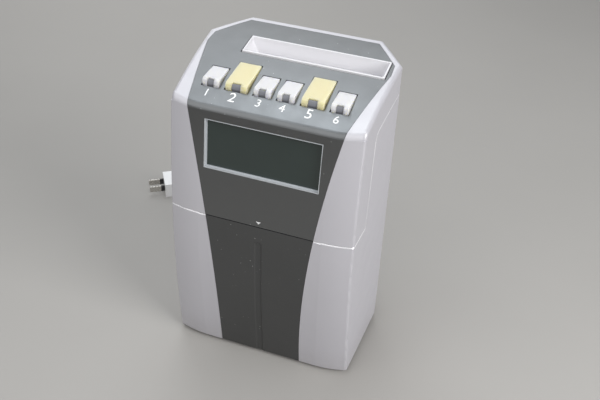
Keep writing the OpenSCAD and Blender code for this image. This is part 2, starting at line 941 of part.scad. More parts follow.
// white funnel of the card slot
module card_funnel() {
    y0 = funnel_y - funnel_d / 2;
    y1 = funnel_y + funnel_d / 2;
    z0 = funnel_z - funnel_h;
    rim = 1.3;
    color("#f0f0f4")
        difference() {
            intersection() {
                block([slot_x - funnel_w / 2, y0, z0], [slot_x + funnel_w / 2, y1, funnel_z + 9]);
                translate([0, top_cy, top_cz])
                    rotate([0, 90, 0])
                        cylinder(r = top_r + 0.8, h = 300, center = true, $fn = 720);
            }
            intersection() {
                side_view()
                    polygon([[y0 + rim, funnel_z + 12], [y0 + rim, funnel_z - 5],
                        [slot_y - card_gap / 2, z0 + 3], [slot_y - card_gap / 2, z0 - 1],
                        [slot_y + card_gap / 2, z0 - 1], [slot_y + card_gap / 2, z0 + 3],
                        [y1 - rim, funnel_z - 3], [y1 - rim, funnel_z + 12]]);
                front_view(-100, 100)
                    polygon([[slot_x - funnel_w / 2 + rim, funnel_z + 12],
                        [slot_x - funnel_w / 2 + rim, funnel_z - 4],
                        [slot_x - slot_w / 2, z0 + 3], [slot_x - slot_w / 2, z0 - 1],
                        [slot_x + slot_w / 2, z0 - 1], [slot_x + slot_w / 2, z0 + 3],
                        [slot_x + funnel_w / 2 - rim, funnel_z - 4],
                        [slot_x + funnel_w / 2 - rim, funnel_z + 12]]);
            }
        }
}

// two sheets that guide the card, with windows for rollers and print head
roller_xs = [in_x0 + 24.5, in_x1 - 24.5];
roller_w = 14;

module bush_room(y, r) {
    translate([0, y, feed_z]) {
        rod_x(r, in_x0 - 1, in_x0 + 1.8);
        rod_x(r, in_x1 - 1.8, in_x1 + 1);
    }
}

module card_guide_front() {
    y1 = slot_y - card_gap / 2;
    color("#c4c7cb")
        difference() {
            block([in_x0, y1 - guide_t, guide_z0], [in_x1, y1, frame_top]);
            for (x = roller_xs)
                block([x - roller_w / 2 - 1.5, 0, feed_z - feed_d / 2 - 1],
                    [x + roller_w / 2 + 1.5, 60, feed_z + feed_d / 2 + 1]);
            block([slot_x - head_travel - 12, 0, head_z - 8], [slot_x + head_travel + 12, 60, head_z + 8]);
            bush_room(feed_y, 5.9);
        }
}

module card_guide_rear() {
    y0 = slot_y + card_gap / 2;
    color("#c4c7cb")
        difference() {
            union() {
                block([in_x0, y0, guide_z0], [in_x1, y0 + guide_t, frame_top]);
                block([in_x0, slot_y - card_gap / 2, guide_z0], [in_x0 + 3.5, y0 + 0.5, frame_top]);
                block([in_x1 - 3.5, slot_y - card_gap / 2, guide_z0], [in_x1, y0 + 0.5, frame_top]);
                block([in_x0, slot_y - card_gap / 2, guide_z0], [in_x1, y0 + 0.5, guide_z0 + 3]);
            }
            for (x = roller_xs)
                block([x - roller_w / 2 - 1.5, y0 - 0.1, feed_z - pinch_d / 2 - 1.5],
                    [x + roller_w / 2 + 1.5, 60, feed_z + pinch_d / 2 + 1.5]);
            block([in_x0 + 6, y0 - 0.1, head_z - 6.1], [in_x1 - 6, 60, head_z + 6.1]);
            bush_room(pinch_y, 5.4);
        }
}

// bent steel frame that carries the card way and the drive
module chassis() {
    color("#aeb2b6")
        difference() {
            union() {
                block([frame_x0, frame_y0, floor_z], [frame_x1, frame_y1, floor_z + plate_t]);
                block([frame_x0, frame_y0, floor_z], [in_x0, frame_y1, frame_top]);
                block([in_x1, frame_y0, floor_z], [frame_x1, frame_y1, frame_top]);
            }
            for (p = chassis_holes)
                translate([p[0], p[1], 0])
                    cylinder(r = 1.5 + fit, h = 30);
            translate([0, feed_y, feed_z])
                rod_x(4 + fit, -90, 90);
            translate([0, pinch_y, feed_z])
                rod_x(3.5 + fit, -90, 90);
            translate([0, motor_y, motor_z])
                rod_x(3.2, -90, slot_x);
            translate([0, bar_y, rod_z])
                rod_x(rod_d / 2 + fit, -90, 90);
            for (z = [motor_z - 88.7, motor_z - 43.7])
                block([-90, frame_y0 + 10, z], [90, frame_y1 - 14, z + 26]);
            block([-90, frame_y0 - 9, head_z + 14], [90, funnel_y - funnel_d / 2 - 1, 300]);
        }
}

module shaft_bushes() {
    color("#a8823c")
        for (x = [in_x0, in_x1], k = [0, 1])
            translate([x, k == 0 ? feed_y : pinch_y, feed_z])
                bush(k == 0 ? 4 : 3.5, (k == 0 ? shaft_d : pinch_shaft_d) / 2 + run, x < slot_x ? 1 : -1);
}

module bush(r, bore, s) {
    difference() {
        union() {
            rod_x(r, s > 0 ? -plate_t : 0, s > 0 ? 0 : plate_t);
            rod_x(r + 1.5, s > 0 ? 0 : -1.4, s > 0 ? 1.4 : 0);
        }
        rod_x(bore, -9, 9);
    }
}

// driven roller shaft with its gear, outside the left side of the frame
gear_x0 = frame_x0 - 6;
gear_w = 4;

module feed_shaft() {
    color("#c9ccd0")
        translate([0, feed_y, feed_z])
            rod_x(shaft_d / 2, gear_x0 - 1, frame_x1 + 2);
}

module feed_rollers() {
    color("#2a2a2c")
        translate([0, feed_y, feed_z])
            for (x = roller_xs)
                difference() {
                    rod_x(feed_d / 2, x - roller_w / 2, x + roller_w / 2);
                    rod_x(shaft_d / 2 + fit, -90, 90);
                }
}

module gear_2d(n, m, turn) {
    r = n * m / 2;
    p = 360 / n;
    ro = r + 0.85 * m;
    ri = r - 1.2 * m;
    polygon([for (i = [0 : n - 1], k = [0 : 3])
        let (a = turn + p * i + [-0.31, -0.11, 0.11, 0.31][k] * p)
        (k == 1 || k == 2 ? ro : ri) * [cos(a), sin(a)]]);
}

module gear_x(n, turn, x0, x1, bore) {
    translate([x0, 0, 0])
        rotate([90, 0, 90])
            linear_extrude(x1 - x0)
                difference() {
                    gear_2d(n, gear_m, turn);
                    circle(bore);
                }
}

module drive_gear() {
    color("#e6e2d6")
        translate([0, feed_y, feed_z])
            difference() {
                union() {
                    gear_x(gear_n, 225, gear_x0, gear_x0 + gear_w, shaft_d / 2 + fit);
                    difference() {
                        rod_x(4, gear_x0, gear_x0 + gear_w + 1);
                        rod_x(shaft_d / 2 + fit, -90, 90);
                    }
                }
                for (a = [0 : 60 : 300])
                    rotate([a, 0, 0])
                        translate([0, 9, 0])
                            rod_x(2.6, -90, 90);
            }
}

module motor_pinion() {
    color("#d8b46a")
        translate([0, motor_y, motor_z]) {
            gear_x(pinion_n, 45 + 180 / pinion_n, gear_x0 - 0.5, gear_x0 + gear_w + 0.5, 0.5);
            rod_x(1, gear_x0 - 0.5, in_x0 + 12);
        }
}

module feed_motor() {
    color("#8f9398")
        translate([0, motor_y, motor_z])
            difference() {
                union() {
                    rod_x(11.5, in_x0, in_x0 + 28);
                    rod_x(3.1, frame_x0 - 0.5, in_x0 + 1);
                    rod_x(4, in_x0 + 28, in_x0 + 30);
                }
                rod_x(1 + run, -90, in_x0 + 14);
            }
}

module pinch_shaft() {
    color("#c9ccd0")
        translate([0, pinch_y, feed_z])
            rod_x(pinch_shaft_d / 2, frame_x0 - 2, frame_x1 + 2);
}

module pinch_rollers() {
    color("#3a3a3c")
        translate([0, pinch_y, feed_z])
            for (x = roller_xs)
                difference() {
                    rod_x(pinch_d / 2, x - roller_w / 2, x + roller_w / 2);
                    rod_x(pinch_shaft_d / 2 + fit, -90, 90);
                }
}

// print carriage on its rod, drawn by a belt
module guide_rod() {
    color("#d0d3d6")
        translate([0, bar_y, rod_z])
            rod_x(rod_d / 2, frame_x0 - 1.5, frame_x1 + 1.5);
}

module carriage() {
    color("#2c2c30")
        translate([slot_x, bar_y, rod_z])
            difference() {
                union() {
                    block([-12, -6.5, -6], [12, 9, 7.5]);
                    block([-2.5, belt_y - bar_y - belt_w / 2 - 1.2, -11],
                        [2.5, belt_y - bar_y + belt_w / 2 + 2, -5]);
                }
                rod_x(rod_d / 2 + run, -30, 30);
                block([-30, belt_y - bar_y - belt_w / 2 - 0.3, belt_top - rod_z - 0.3],
                    [30, belt_y - bar_y + belt_w / 2 + 0.3, belt_top + belt_t - rod_z + 0.3]);
            }
}

module print_head() {
    y1 = slot_y - card_gap / 2 - guide_t - 1.3;
    color("#54575c")
        translate([slot_x, 0, 0]) {
            block([-11, bar_y - 6, rod_z + 7.5], [11, bar_y + 8, rod_z + 26]);
            block([-5, bar_y + 7, head_z - 3], [5, y1, head_z + 3]);
            for (z = [rod_z + 11, rod_z + 15, rod_z + 19, rod_z + 23])
                block([-12.5, bar_y - 4, z], [12.5, bar_y + 5, z + 1.4]);
        }
}

module platen() {
    color("#26262a")
        block([in_x0 + 6.4, slot_y + card_gap / 2 - 0.6, head_z - 5.7],
            [in_x1 - 6.4, slot_y + card_gap / 2 + 6, head_z + 5.7]);
}

module ribbon_cartridge() {
    y0 = bar_y - 25;
    y1 = slot_y - card_gap / 2 - guide_t;
    z0 = head_z - 7;
    z1 = head_z + 8;
    color("#3a3d44")
        difference() {
            union() {
                block([in_x0 + 0.3, y0, z0], [in_x1 - 0.3, bar_y - 10, z1]);
                block([in_x0 + 0.3, bar_y - 11, z0], [in_x0 + 8, y1 - 0.7, z1]);
                block([in_x1 - 8, bar_y - 11, z0], [in_x1 - 0.3, y1 - 0.7, z1]);
            }
            for (s = [-1, 1])
                translate([slot_x + s * (frame_w / 2 - 24), (y0 + bar_y - 10) / 2, z1 - 1])
                    cylinder(r = 5, h = 3);
        }
}

module ink_ribbon() {
    y1 = slot_y - card_gap / 2 - guide_t;
    color("#2b2140")
        block([in_x0 + 4, y1 - 0.7, head_z - 6.3], [in_x1 - 4, y1 - 0.4, head_z + 6.3]);
}

module drive_plate() {
    y0 = belt_y - belt_w / 2 - 3;
    color("#aeb2b6")
        difference() {
            union() {
                block([in_x0, y0, belt_z - 14], [in_x1, y0 + plate_t, belt_z + 6.5]);
                translate([pulley_x0, 0, belt_z])
                    rod_y(1.5, y0, belt_y + belt_w / 2 + 1);
            }
            translate([pulley_x1, 0, belt_z])
                rod_y(3.2, -90, 90);
        }
}

module carriage_motor() {
    y0 = belt_y - belt_w / 2 - 3;
    color("#8f9398")
        translate([pulley_x1, 0, belt_z])
            difference() {
                union() {
                    rod_y(12, y0 - 24, y0);
                    rod_y(3.1, y0 - 1, y0 + plate_t);
                }
                rod_y(1 + run, y0 - 12, 90);
            }
}

module pulley(bore) {
    difference() {
        union() {
            rod_y(pulley_r, belt_y - belt_w / 2 - 0.5, belt_y + belt_w / 2);
            rod_y(pulley_r + 1.6, belt_y - belt_w / 2 - 0.9, belt_y - belt_w / 2 - 0.1);
        }
        rod_y(bore, -90, 90);
    }
}

module drive_pulley() {
    color("#d8d4c8")
        translate([pulley_x1, 0, belt_z]) {
            pulley(0.5);
            rod_y(1, belt_y - belt_w / 2 - 13, belt_y + belt_w / 2);
        }
}

module idler_pulley() {
    color("#d8d4c8")
        translate([pulley_x0, 0, belt_z])
            pulley(1.5 + run);
}

module belt_loop(r) {
    translate([pulley_x0, belt_z])
        circle(r);
    translate([pulley_x1, belt_z])
        circle(r);
    translate([pulley_x0, belt_z - r])
        square([pulley_x1 - pulley_x0, 2 * r]);
}

module carriage_belt() {
    color("#1c1c1e")
        front_view(belt_y - belt_w / 2, belt_y + belt_w / 2)
            difference() {
                belt_loop(pulley_r + 0.1 + belt_t);
                belt_loop(pulley_r + 0.1);
            }
}

// electronics behind the lower front
module main_board() {
    color("#2f6b3c")
        difference() {
            block([-board_w / 2, board_y, board_z0], [board_w / 2, board_y + 1.6, board_z0 + board_h]);
            for (p = board_posts)
                translate([p[0], 0, p[1]])
                    rod_y(1.2 + run, -90, 90);
        }
}

module board_screws() {
    color("#b9bcc0")
        for (p = board_posts)
            translate([p[0], 0, p[1]]) {
                rod_y(2.3, board_y + 1.6, board_y + 3.4);
                rod_y(1.2, board_y - 5, board_y + 1.6);
            }
}

module board_chips() {
    y = board_y + 1.6;
    color("#1a1a1c") {
        block([-10, y, board_z0 + 52], [10, y + 2.4, board_z0 + 72]);
        block([18, y, board_z0 + 64], [38, y + 3, board_z0 + 74]);
        block([-42, y, board_z0 + 56], [-24, y + 3, board_z0 + 64]);
    }
}

module capacitors() {
    color("#3b4a7a")
        for (p = [[-36, 22, 5, 16], [-22, 22, 5, 16], [-6, 20, 4, 12]])
            translate([p[0], 0, board_z0 + p[1]])
                rod_y(p[2], board_y + 1.6, board_y + 1.6 + p[3]);
}

module backup_battery() {
    color("#3f8f5a")
        translate([8, board_y + 8.6, board_z0 + 24])
            for (k = [0 : 2])
                translate([0, 0, k * 14.2])
                    rod_x(7, 8, 38);
}

module buzzer() {
    color("#141414")
        translate([-32, 0, board_z0 + board_h - 18])
            difference() {
                rod_y(6, board_y + 1.6, board_y + 9);
                rod_y(1.2, board_y + 6, board_y + 12);
            }
}

// mains transformer on the foot of the chassis, below the card way
trans_x0 = slot_x - 12;
trans_y0 = frame_y0 + 3;
trans_z0 = floor_z + plate_t;

module transformer_core() {
    color("#6f7276")
        difference() {
            block([trans_x0, trans_y0, trans_z0], [trans_x0 + 24, trans_y0 + 44, trans_z0 + 36]);
            for (y = [trans_y0 + 8, trans_y0 + 26])
                block([trans_x0 - 9, y, trans_z0 + 8], [trans_x0 + 40, y + 10, trans_z0 + 28]);
        }
}

module transformer_coil() {
    color("#d8c25a")
        difference() {
            block([trans_x0 - 4, trans_y0 + 8.1, trans_z0 + 8.1],
                [trans_x0 + 28, trans_y0 + 35.9, trans_z0 + 27.9]);
            block([trans_x0 - 0.1, trans_y0 + 17.9, trans_z0], [trans_x0 + 24.1, trans_y0 + 26.1, trans_z0 + 40]);
        }
}

module hinge_pin() {
    color("#c9ccd0")
        translate([0, hinge_y, hinge_z])
            rod_x(1.5, -hinge_x0 - 6, hinge_x0 + 6);
}

// mains cord: strain relief, lead, coil, tail, tie and plug
module strain_relief() {
    color("#dcdce0")
        translate([cord_x, 0, cord_z])
            difference() {
                union() {
                    rod_y(6.5, back_y - wall - 2, back_y - wall);
                    rod_y(4.5, back_y - wall - 1, back_y + 0.5);
                    translate([0, back_y, 0])
                        rotate([-90, 0, 0])
                            cylinder(r = 6.5, h = 2);
                    translate([0, back_y + 2, 0])
                        rotate([-90, 0, 0])
                            cylinder(r1 = 5.4, r2 = cord_r + 0.8, h = relief_l - 2);
                }
                rod_y(cord_r + fit, back_y + relief_l - 6, back_y + relief_l + 9);
            }
}

// ring of a swept tube at point p with heading t
function ring(p, t, n, turn) =
    let (a = unit(t), s = unit(cross(a, [0, 0, 1])), u = cross(s, a))
    [for (k = [0 : n - 1])
        p + cord_r * (cos(turn + 360 * k / n) * s + sin(turn + 360 * k / n) * u)];

function headings(p) =
    let (m = len(p) - 1)
    [for (i = [0 : m]) i == 0 ? p[1] - p[0] : i == m ? p[m] - p[m - 1] : p[i + 1] - p[i - 1]];

module tube(p, h, n, turn) {
    m = len(p);
    rings = [for (i = [0 : m - 1]) each ring(p[i], h[i], n, turn)];
    sides = [for (i = [0 : m - 2], k = [0 : n - 1])
        let (a = i * n + k, b = i * n + (k + 1) % n)
        each [[a, a + n, b], [b, a + n, b + n]]];
    first = [for (k = [1 : n - 2]) [0, k, k + 1]];
    last = [for (k = [1 : n - 2]) [(m - 1) * n, (m - 1) * n + k + 1, (m - 1) * n + k]];
    polyhedron(points = rings, faces = concat(first, sides, last));
}

// coil: spirals in on the table, climbs a layer and spirals out on top
coil_steps = round(24 * coil_turns);
function coil_point(t) =
    let (a = 360 * t, h = coil_turns / 2, r = coil_in + coil_step * abs(t - h),
        k = min(1, max(0, (t - h) * 2 + 0.5)))
    [coil_c[0] + r * cos(a), coil_c[1] + r * sin(a), coil_z + coil_step * k];
coil_path = [for (i = [0 : coil_steps]) coil_point(coil_turns * i / coil_steps)];
coil_far = [for (i = [0 : 12 : coil_steps - 30])
    min([for (j = [i + 14 : coil_steps]) norm(coil_path[i] - coil_path[j])])];
coil_first = [0, 1, 0];
coil_last = [cos(plug_dir), sin(plug_dir), 0];
coil_heads = concat([coil_first],
    [for (i = [1 : coil_steps - 1]) coil_path[i + 1] - coil_path[i - 1]], [coil_last]);
echo(coil_gap = min(coil_far) - cord_d);

// lead: from the strain relief down to the table and into the coil
lead_y0 = back_y + relief_l - 6;
lead_drop = cord_z - coil_z;
lead_path = [for (q = [[0, 0], [6, 0], [12, 0.03], [18, 0.14], [24, 0.34], [30, 0.6], [36, 0.82],
    [42, 0.95], [46, 1], [48.6, 1]]) [cord_x, lead_y0 + q[0], cord_z - lead_drop * q[1]]];

// tail: off the top of the coil, down to the table and up into the plug
tail_start = coil_path[coil_steps];
tail_l = 58;
plug_z = 8;
tail_path = [for (q = [[0, 1], [6, 0.97], [12, 0.8], [18, 0.5], [24, 0.2], [30, 0.03], [36, 0],
    [42, 0.1], [48, 0.42], [53, 0.68], [tail_l, 0.74]])
    [tail_start[0] + q[0] * coil_last[0], tail_start[1] + q[0] * coil_last[1],
        cord_r + 0.1 + (tail_start[2] - cord_r - 0.1) * q[1]]];

module cord_lead() {
    color("#dcdce0")
        tube(lead_path, [for (i = [0 : len(lead_path) - 1])
            i == 0 || i == len(lead_path) - 1 ? [0, 1, 0] : headings(lead_path)[i]], 10, 0);
}

module cord_coil() {
    color("#dcdce0")
        tube(coil_path, coil_heads, 6, 0);
}

module cord_tail() {
    color("#dcdce0")
        tube(tail_path, [for (i = [0 : len(tail_path) - 1])
            i == 0 || i == len(tail_path) - 1 ? coil_last : headings(tail_path)[i]], 10, 0);
}

tie_angle = 250;
tie_r = coil_in + coil_step * (floor(coil_turns - 1) + tie_angle / 360 - coil_turns / 2) + cord_r;

module cord_tie() {
    color("#303034")
        translate([coil_c[0], coil_c[1], 0])
            rotate([0, 0, tie_angle])
                difference() {
                    block([coil_in - cord_r - 1.6, -3, 0.2],
                        [tie_r + 1.6, 3, coil_z + coil_step + cord_r + 1]);
                    block([coil_in - cord_r - 0.8, -9, 0.9],
                        [tie_r + 0.8, 9, coil_z + coil_step + cord_r + 0.3]);
                }
}

module at_plug() {
    translate([tail_path[len(tail_path) - 1][0], tail_path[len(tail_path) - 1][1], 0])
        rotate([0, 0, plug_dir])
            children();
}

module mains_plug() {
    color("#f0f0f0")
        at_plug()
            difference() {
                union() {
                    translate([5, -8, 2])
                        cube([14, 16, 12]);
                    translate([16, -12.5, 0])
                        cube([11, 25, 16]);
                    translate([0, 0, tail_path[len(tail_path) - 1][2]])
                        rotate([0, 90, 0])
                            cylinder(r = 5, h = 6);
                }
                for (s = [-1, 1])
                    block([20, s * 6.35 - 0.8, 4.8], [30, s * 6.35 + 0.8, 11.2]);
            }
}

module plug_blades() {
    color("#c9b070")
        at_plug()
            for (s = [-1, 1])
                block([20.1, s * 6.35 - 0.75, 4.85], [43, s * 6.35 + 0.75, 11.15]);
}

upper_cover();
upper_panel();
main_case();
lower_panel();
base_plate();
rubber_feet();
case_screws();
display_bezel();
display_lens();
lcd_module();
key_1();
key_2();
key_3();
key_4();
key_5();
key_6();
lamp_windows();
key_board();
key_switches();
cover_screws();
card_funnel();
card_guide_front();
card_guide_rear();
chassis();
shaft_bushes();
feed_shaft();
feed_rollers();
drive_gear();
motor_pinion();
feed_motor();
pinch_shaft();
pinch_rollers();
guide_rod();
carriage();
print_head();
platen();
ribbon_cartridge();
ink_ribbon();
drive_plate();
carriage_motor();
drive_pulley();
idler_pulley();
carriage_belt();
main_board();
board_screws();
board_chips();
capacitors();
backup_battery();
buzzer();
transformer_core();
transformer_coil();
hinge_pin();
strain_relief();
cord_lead();
cord_coil();
cord_tail();
cord_tie();
mains_plug();
plug_blades();
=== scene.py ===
"""Looks of the electronic time clock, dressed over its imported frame."""

import json
import logging
import math
from abc import ABC, abstractmethod
from collections.abc import Callable
from dataclasses import dataclass
from enum import Enum

import bmesh
import bpy
from mathutils import Matrix, Vector

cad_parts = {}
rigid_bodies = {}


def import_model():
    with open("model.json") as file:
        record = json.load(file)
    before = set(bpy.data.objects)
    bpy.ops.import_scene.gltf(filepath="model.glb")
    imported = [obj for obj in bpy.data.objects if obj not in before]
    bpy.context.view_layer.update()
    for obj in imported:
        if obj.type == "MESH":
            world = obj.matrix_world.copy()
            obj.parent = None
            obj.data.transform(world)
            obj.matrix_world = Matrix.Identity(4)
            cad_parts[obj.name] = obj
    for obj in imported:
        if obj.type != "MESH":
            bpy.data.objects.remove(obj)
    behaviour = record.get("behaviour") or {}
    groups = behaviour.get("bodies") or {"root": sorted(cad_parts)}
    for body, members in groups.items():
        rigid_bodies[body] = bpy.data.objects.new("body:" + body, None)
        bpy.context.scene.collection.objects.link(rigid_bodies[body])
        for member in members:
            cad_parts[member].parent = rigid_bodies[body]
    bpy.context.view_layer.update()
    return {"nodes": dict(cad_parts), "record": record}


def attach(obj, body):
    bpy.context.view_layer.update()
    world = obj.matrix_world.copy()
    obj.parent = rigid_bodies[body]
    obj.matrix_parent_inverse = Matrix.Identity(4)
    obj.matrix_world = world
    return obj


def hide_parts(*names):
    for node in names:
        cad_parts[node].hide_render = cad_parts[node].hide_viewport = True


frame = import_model()
Colour = tuple[float, float, float]
Point = tuple[float, float, float]
Draft = bmesh.types.BMesh
Face = bmesh.types.BMFace
Corner = bmesh.types.BMVert
Material = bpy.types.Material
Mesh = bpy.types.Mesh
Piece = bpy.types.Object
Socket = bpy.types.NodeSocket
log = logging.getLogger("time_clock")

# Metres in a millimetre; the sub-assemblies hold their sizes in millimetres.
MM = 0.001
# Corners of the frame's meshes that lie closer than this, in metres, are one.
WELD = 2e-6
# Sockets of the mixing node in its colour mode.
MIX_LOW, MIX_HIGH, MIX_RESULT = 6, 7, 2
# The keys count from 1 at the left; the yellow ones are the large ones.
KEY_COUNT = 6
YELLOW_KEYS = (2, 5)


class Body(Enum):
    """Bodies of the frame that pieces ride on."""

    CASE = "case"
    COVER = "cover"


class Slot(Enum):
    """Material slots of the record that new pieces take."""

    CASING = "casing_white"
    KEY_WHITE = "key_white"
    KEY_YELLOW = "key_yellow"
    LAMP = "lamp_smoke"
    PANEL = "panel_lower"
    CORD = "cord_grey"
    PLUG = "plug_white"
    BLADE = "blade_brass"
    # black_plastic is the cord tie's finish and also stands as painted shade on the keys' roots, the
    # key-hole walls, the case's rim and the panel's edge.
    TIE = "black_plastic"


class Extra(Enum):
    """Finishes that the record has no slot for."""

    FUNNEL = "funnel_white"
    INK = "ink_white"
    EDGE = "edge_white"
    LID = "lamp_lid"
    SLEEVE = "sleeve_black"


class Dirt(Enum):
    """Colours of what lies on or in a surface, and of a darkening towards the foot."""

    DUST = (0.33, 0.31, 0.30)
    PIGMENT = (0.3, 0.3, 0.3)
    SPECK = (0.62, 0.62, 0.60)
    SOLDER = (0.55, 0.54, 0.50)


@dataclass(frozen=True)
class Arc:
    """Circle of the casing's side view, in millimetres."""

    radius: float
    y: float
    z: float

    def reach(self, along: float) -> float:
        """Gives the distance of the circle from its middle line at a distance along it."""
        return math.sqrt(self.radius ** 2 - along ** 2)


TOP = Arc(360.0, 64.5, -105.0)
FRONT = Arc(820.0, 758.5, 115.0)


def shade(colour: Colour, factor: float) -> Colour:
    """Multiplies a linear colour by a factor, to make it darker or lighter."""
    red, green, blue = (min(1.0, part * factor) for part in colour)
    return red, green, blue


class Graph:
    """Wires the nodes of one material round a Principled shader."""

    def __init__(self, name: str) -> None:
        """Starts an empty material.

        Args:
            name: name of the material.
        """
        self.material = bpy.data.materials.new(name)
        self.material.use_nodes = True
        self.tree = self.material.node_tree
        self.tree.nodes.clear()
        out = self.tree.nodes.new("ShaderNodeOutputMaterial")
        self.shader = self.tree.nodes.new("ShaderNodeBsdfPrincipled")
        self.link(self.shader.outputs["BSDF"], out.inputs["Surface"])
        self.place = self.tree.nodes.new("ShaderNodeTexCoord").outputs["Object"]

    def link(self, source: Socket, target: Socket) -> None:
        """Joins two sockets."""
        self.tree.links.new(source, target)

    def put(self, **values: object) -> None:
        """Sets inputs of the shader by name, an underscore standing for a space."""
        for key, value in values.items():
            self.shader.inputs[key.replace("_", " ")].default_value = value

    def node(self, kind: str, source: Socket, entry: str | int, **values: object) -> bpy.types.Node:
        """Adds a node that takes one socket.

        Args:
            kind: type of the node, without its common prefix.
            source: socket that it takes.
            entry: input that takes it.
            values: its other inputs by name, an underscore standing for a space.

        Returns:
            The node.
        """
        node = self.tree.nodes.new("ShaderNode" + kind)
        for key, value in values.items():
            node.inputs[key.replace("_", " ")].default_value = value
        self.link(source, node.inputs[entry])
        return node

    def stretch(self, scale: Point) -> Socket:
        """Scales the object coordinates along the three axes."""
        return self.node("Mapping", self.place, "Vector", Scale=scale).outputs["Vector"]

    def noise(self, scale: float, detail: float, at: Socket | None = None) -> Socket:
        """Adds cloudy noise from 0 to 1, by features per metre and octaves."""
        node = self.node("TexNoise", at or self.place, "Vector", Scale=scale, Detail=detail)
        return node.outputs["Fac"]

    def cells(self, scale: float, output: str = "Distance") -> Socket:
        """Adds a pattern of so many cells per metre and gives its Distance or Color."""
        return self.node("TexVoronoi", self.place, "Vector", Scale=scale).outputs[output]

    def bands(self, scale: float, axis: str, distortion: float = 0.0) -> Socket:
        """Adds straight bands along one axis.

        Args:
            scale: bands per metre, over two pi.
            axis: X, Y or Z.
            distortion: unevenness.

        Returns:
            Its value from 0 to 1.
        """
        node = self.node("TexWave", self.place, "Vector", Scale=scale, Distortion=distortion)
        node.bands_direction = axis
        return node.outputs["Fac"]

    def span(self, source: Socket, low: float, high: float, to_low: float, to_high: float) -> Socket:
        """Maps a value from one span to another, held at its ends.

        Args:
            source: value to map.
            low: start of the first span.
            high: end of the first span.
            to_low: start of the second span.
            to_high: end of the second span.

        Returns:
            The mapped value.
        """
        node = self.node("MapRange", source, "Value", From_Min=low, From_Max=high,
                         To_Min=to_low, To_Max=to_high)
        return node.outputs["Result"]

    def times(self, one: Socket, two: Socket) -> Socket:
        """Multiplies two values.

        Args:
            one: first value.
            two: second value.

        Returns:
            The product.
        """
        node = self.node("Math", one, 0)
        node.operation = "MULTIPLY"
        self.link(two, node.inputs[1])
        return node.outputs[0]

    def height(self) -> Socket:
        """Gives the height over the table."""
        return self.node("SeparateXYZ", self.place, 0).outputs["Z"]

    def blend(self, share: Socket, low: Colour | Socket, high: Colour) -> Socket:
        """Mixes two colours.

        Args:
            share: 0 for the first, 1 for the second.
            low: first colour, or a socket that gives it.
            high: second colour.

        Returns:
            The mixed colour.
        """
        node = self.tree.nodes.new("ShaderNodeMix")
        node.data_type = "RGBA"
        self.link(share, node.inputs["Factor"])
        if isinstance(low, Socket):
            self.link(low, node.inputs[MIX_LOW])
        else:
            node.inputs[MIX_LOW].default_value = (*low, 1)
        node.inputs[MIX_HIGH].default_value = (*high, 1)
        return node.outputs[MIX_RESULT]

    def tones(self, pattern: Socket, tint: Colour, dark: float, light: float) -> Socket:
        """Runs a colour from a dark to a light multiple of itself along a pattern."""
        return self.blend(pattern, shade(tint, dark), shade(tint, light))

    def colour(self, source: Socket) -> None:
        """Leads a colour to the shader."""
        self.link(source, self.shader.inputs["Base Color"])

    def satin(self, pattern: Socket, gloss: float, less: float, more: float,
              low: float = 0.3, high: float = 0.7) -> None:
        """Leads a roughness to the shader that follows a pattern round the gloss."""
        rough = self.span(pattern, low, high, gloss - less, gloss + more)
        self.link(rough, self.shader.inputs["Roughness"])

    def relief(self, source: Socket, depth: float, strength: float) -> None:
        """Raises the surface by a pattern, whose depth is in metres."""
        node = self.node("Bump", source, "Height", Strength=strength, Distance=depth)
        self.link(node.outputs["Normal"], self.shader.inputs["Normal"])


@dataclass(frozen=True)
class Finish:
    """A surface finish with its colour and gloss, evenly cloudy."""

    name: str
    tint: Colour
    gloss: float

    def make(self) -> Material:
        """Makes the material.

        Returns:
            The material.
        """
        g = Graph(self.name)
        self.wire(g)
        return g.material

    def wire(self, g: Graph) -> None:
        """Wires the pattern of the finish.

        Args:
            g: graph of the material.
        """
        g.colour(g.tones(g.noise(40, 3), self.tint, 0.94, 1.05))
        g.satin(g.noise(300, 3), self.gloss, 0.05, 0.06)


@dataclass(frozen=True)
class Moulding(Finish):
    """Moulded plastic with a fine eroded grain."""

    grain: float = 1900.0
    depth: float = 0.00005
    dust: float = 0.0
    dust_low: float = 0.002
    dust_high: float = 0.03
    index: float = 1.5
    sheen: float = 0.5

    def wire(self, g: Graph) -> None:
        """Wires grain, faint clouds and, where set, a patchy darkening towards the foot.

        Args:
            g: graph of the material.
        """
        base = g.tones(g.noise(16, 3), self.tint, 0.975, 1.02)
        # Patchy darkening of the colour towards the foot, from 2 to 30 mm over the table.
        if self.dust:
            foot = g.span(g.height(), self.dust_low, self.dust_high, self.dust, 0.0)
            base = g.blend(g.times(foot, g.noise(220, 4)), base, Dirt.DUST.value)
        g.colour(base)
        g.put(IOR=self.index, Specular_IOR_Level=self.sheen)
        g.satin(g.noise(70, 4), self.gloss, 0.04, 0.06, low=0.35)
        g.relief(g.noise(self.grain, 3), self.depth, 0.55)


@dataclass(frozen=True)
class KeyPlastic(Moulding):
    """Moulded plastic that lets a little light through."""

    reach: float = 0.009
    spread: Colour = (1.0, 1.0, 0.8)

    def wire(self, g: Graph) -> None:
        """Wires the moulding and the light inside it.

        Args:
            g: graph of the material.
        """
        super().wire(g)
        g.put(Subsurface_Weight=1.0, Subsurface_Radius=self.spread, Subsurface_Scale=self.reach)


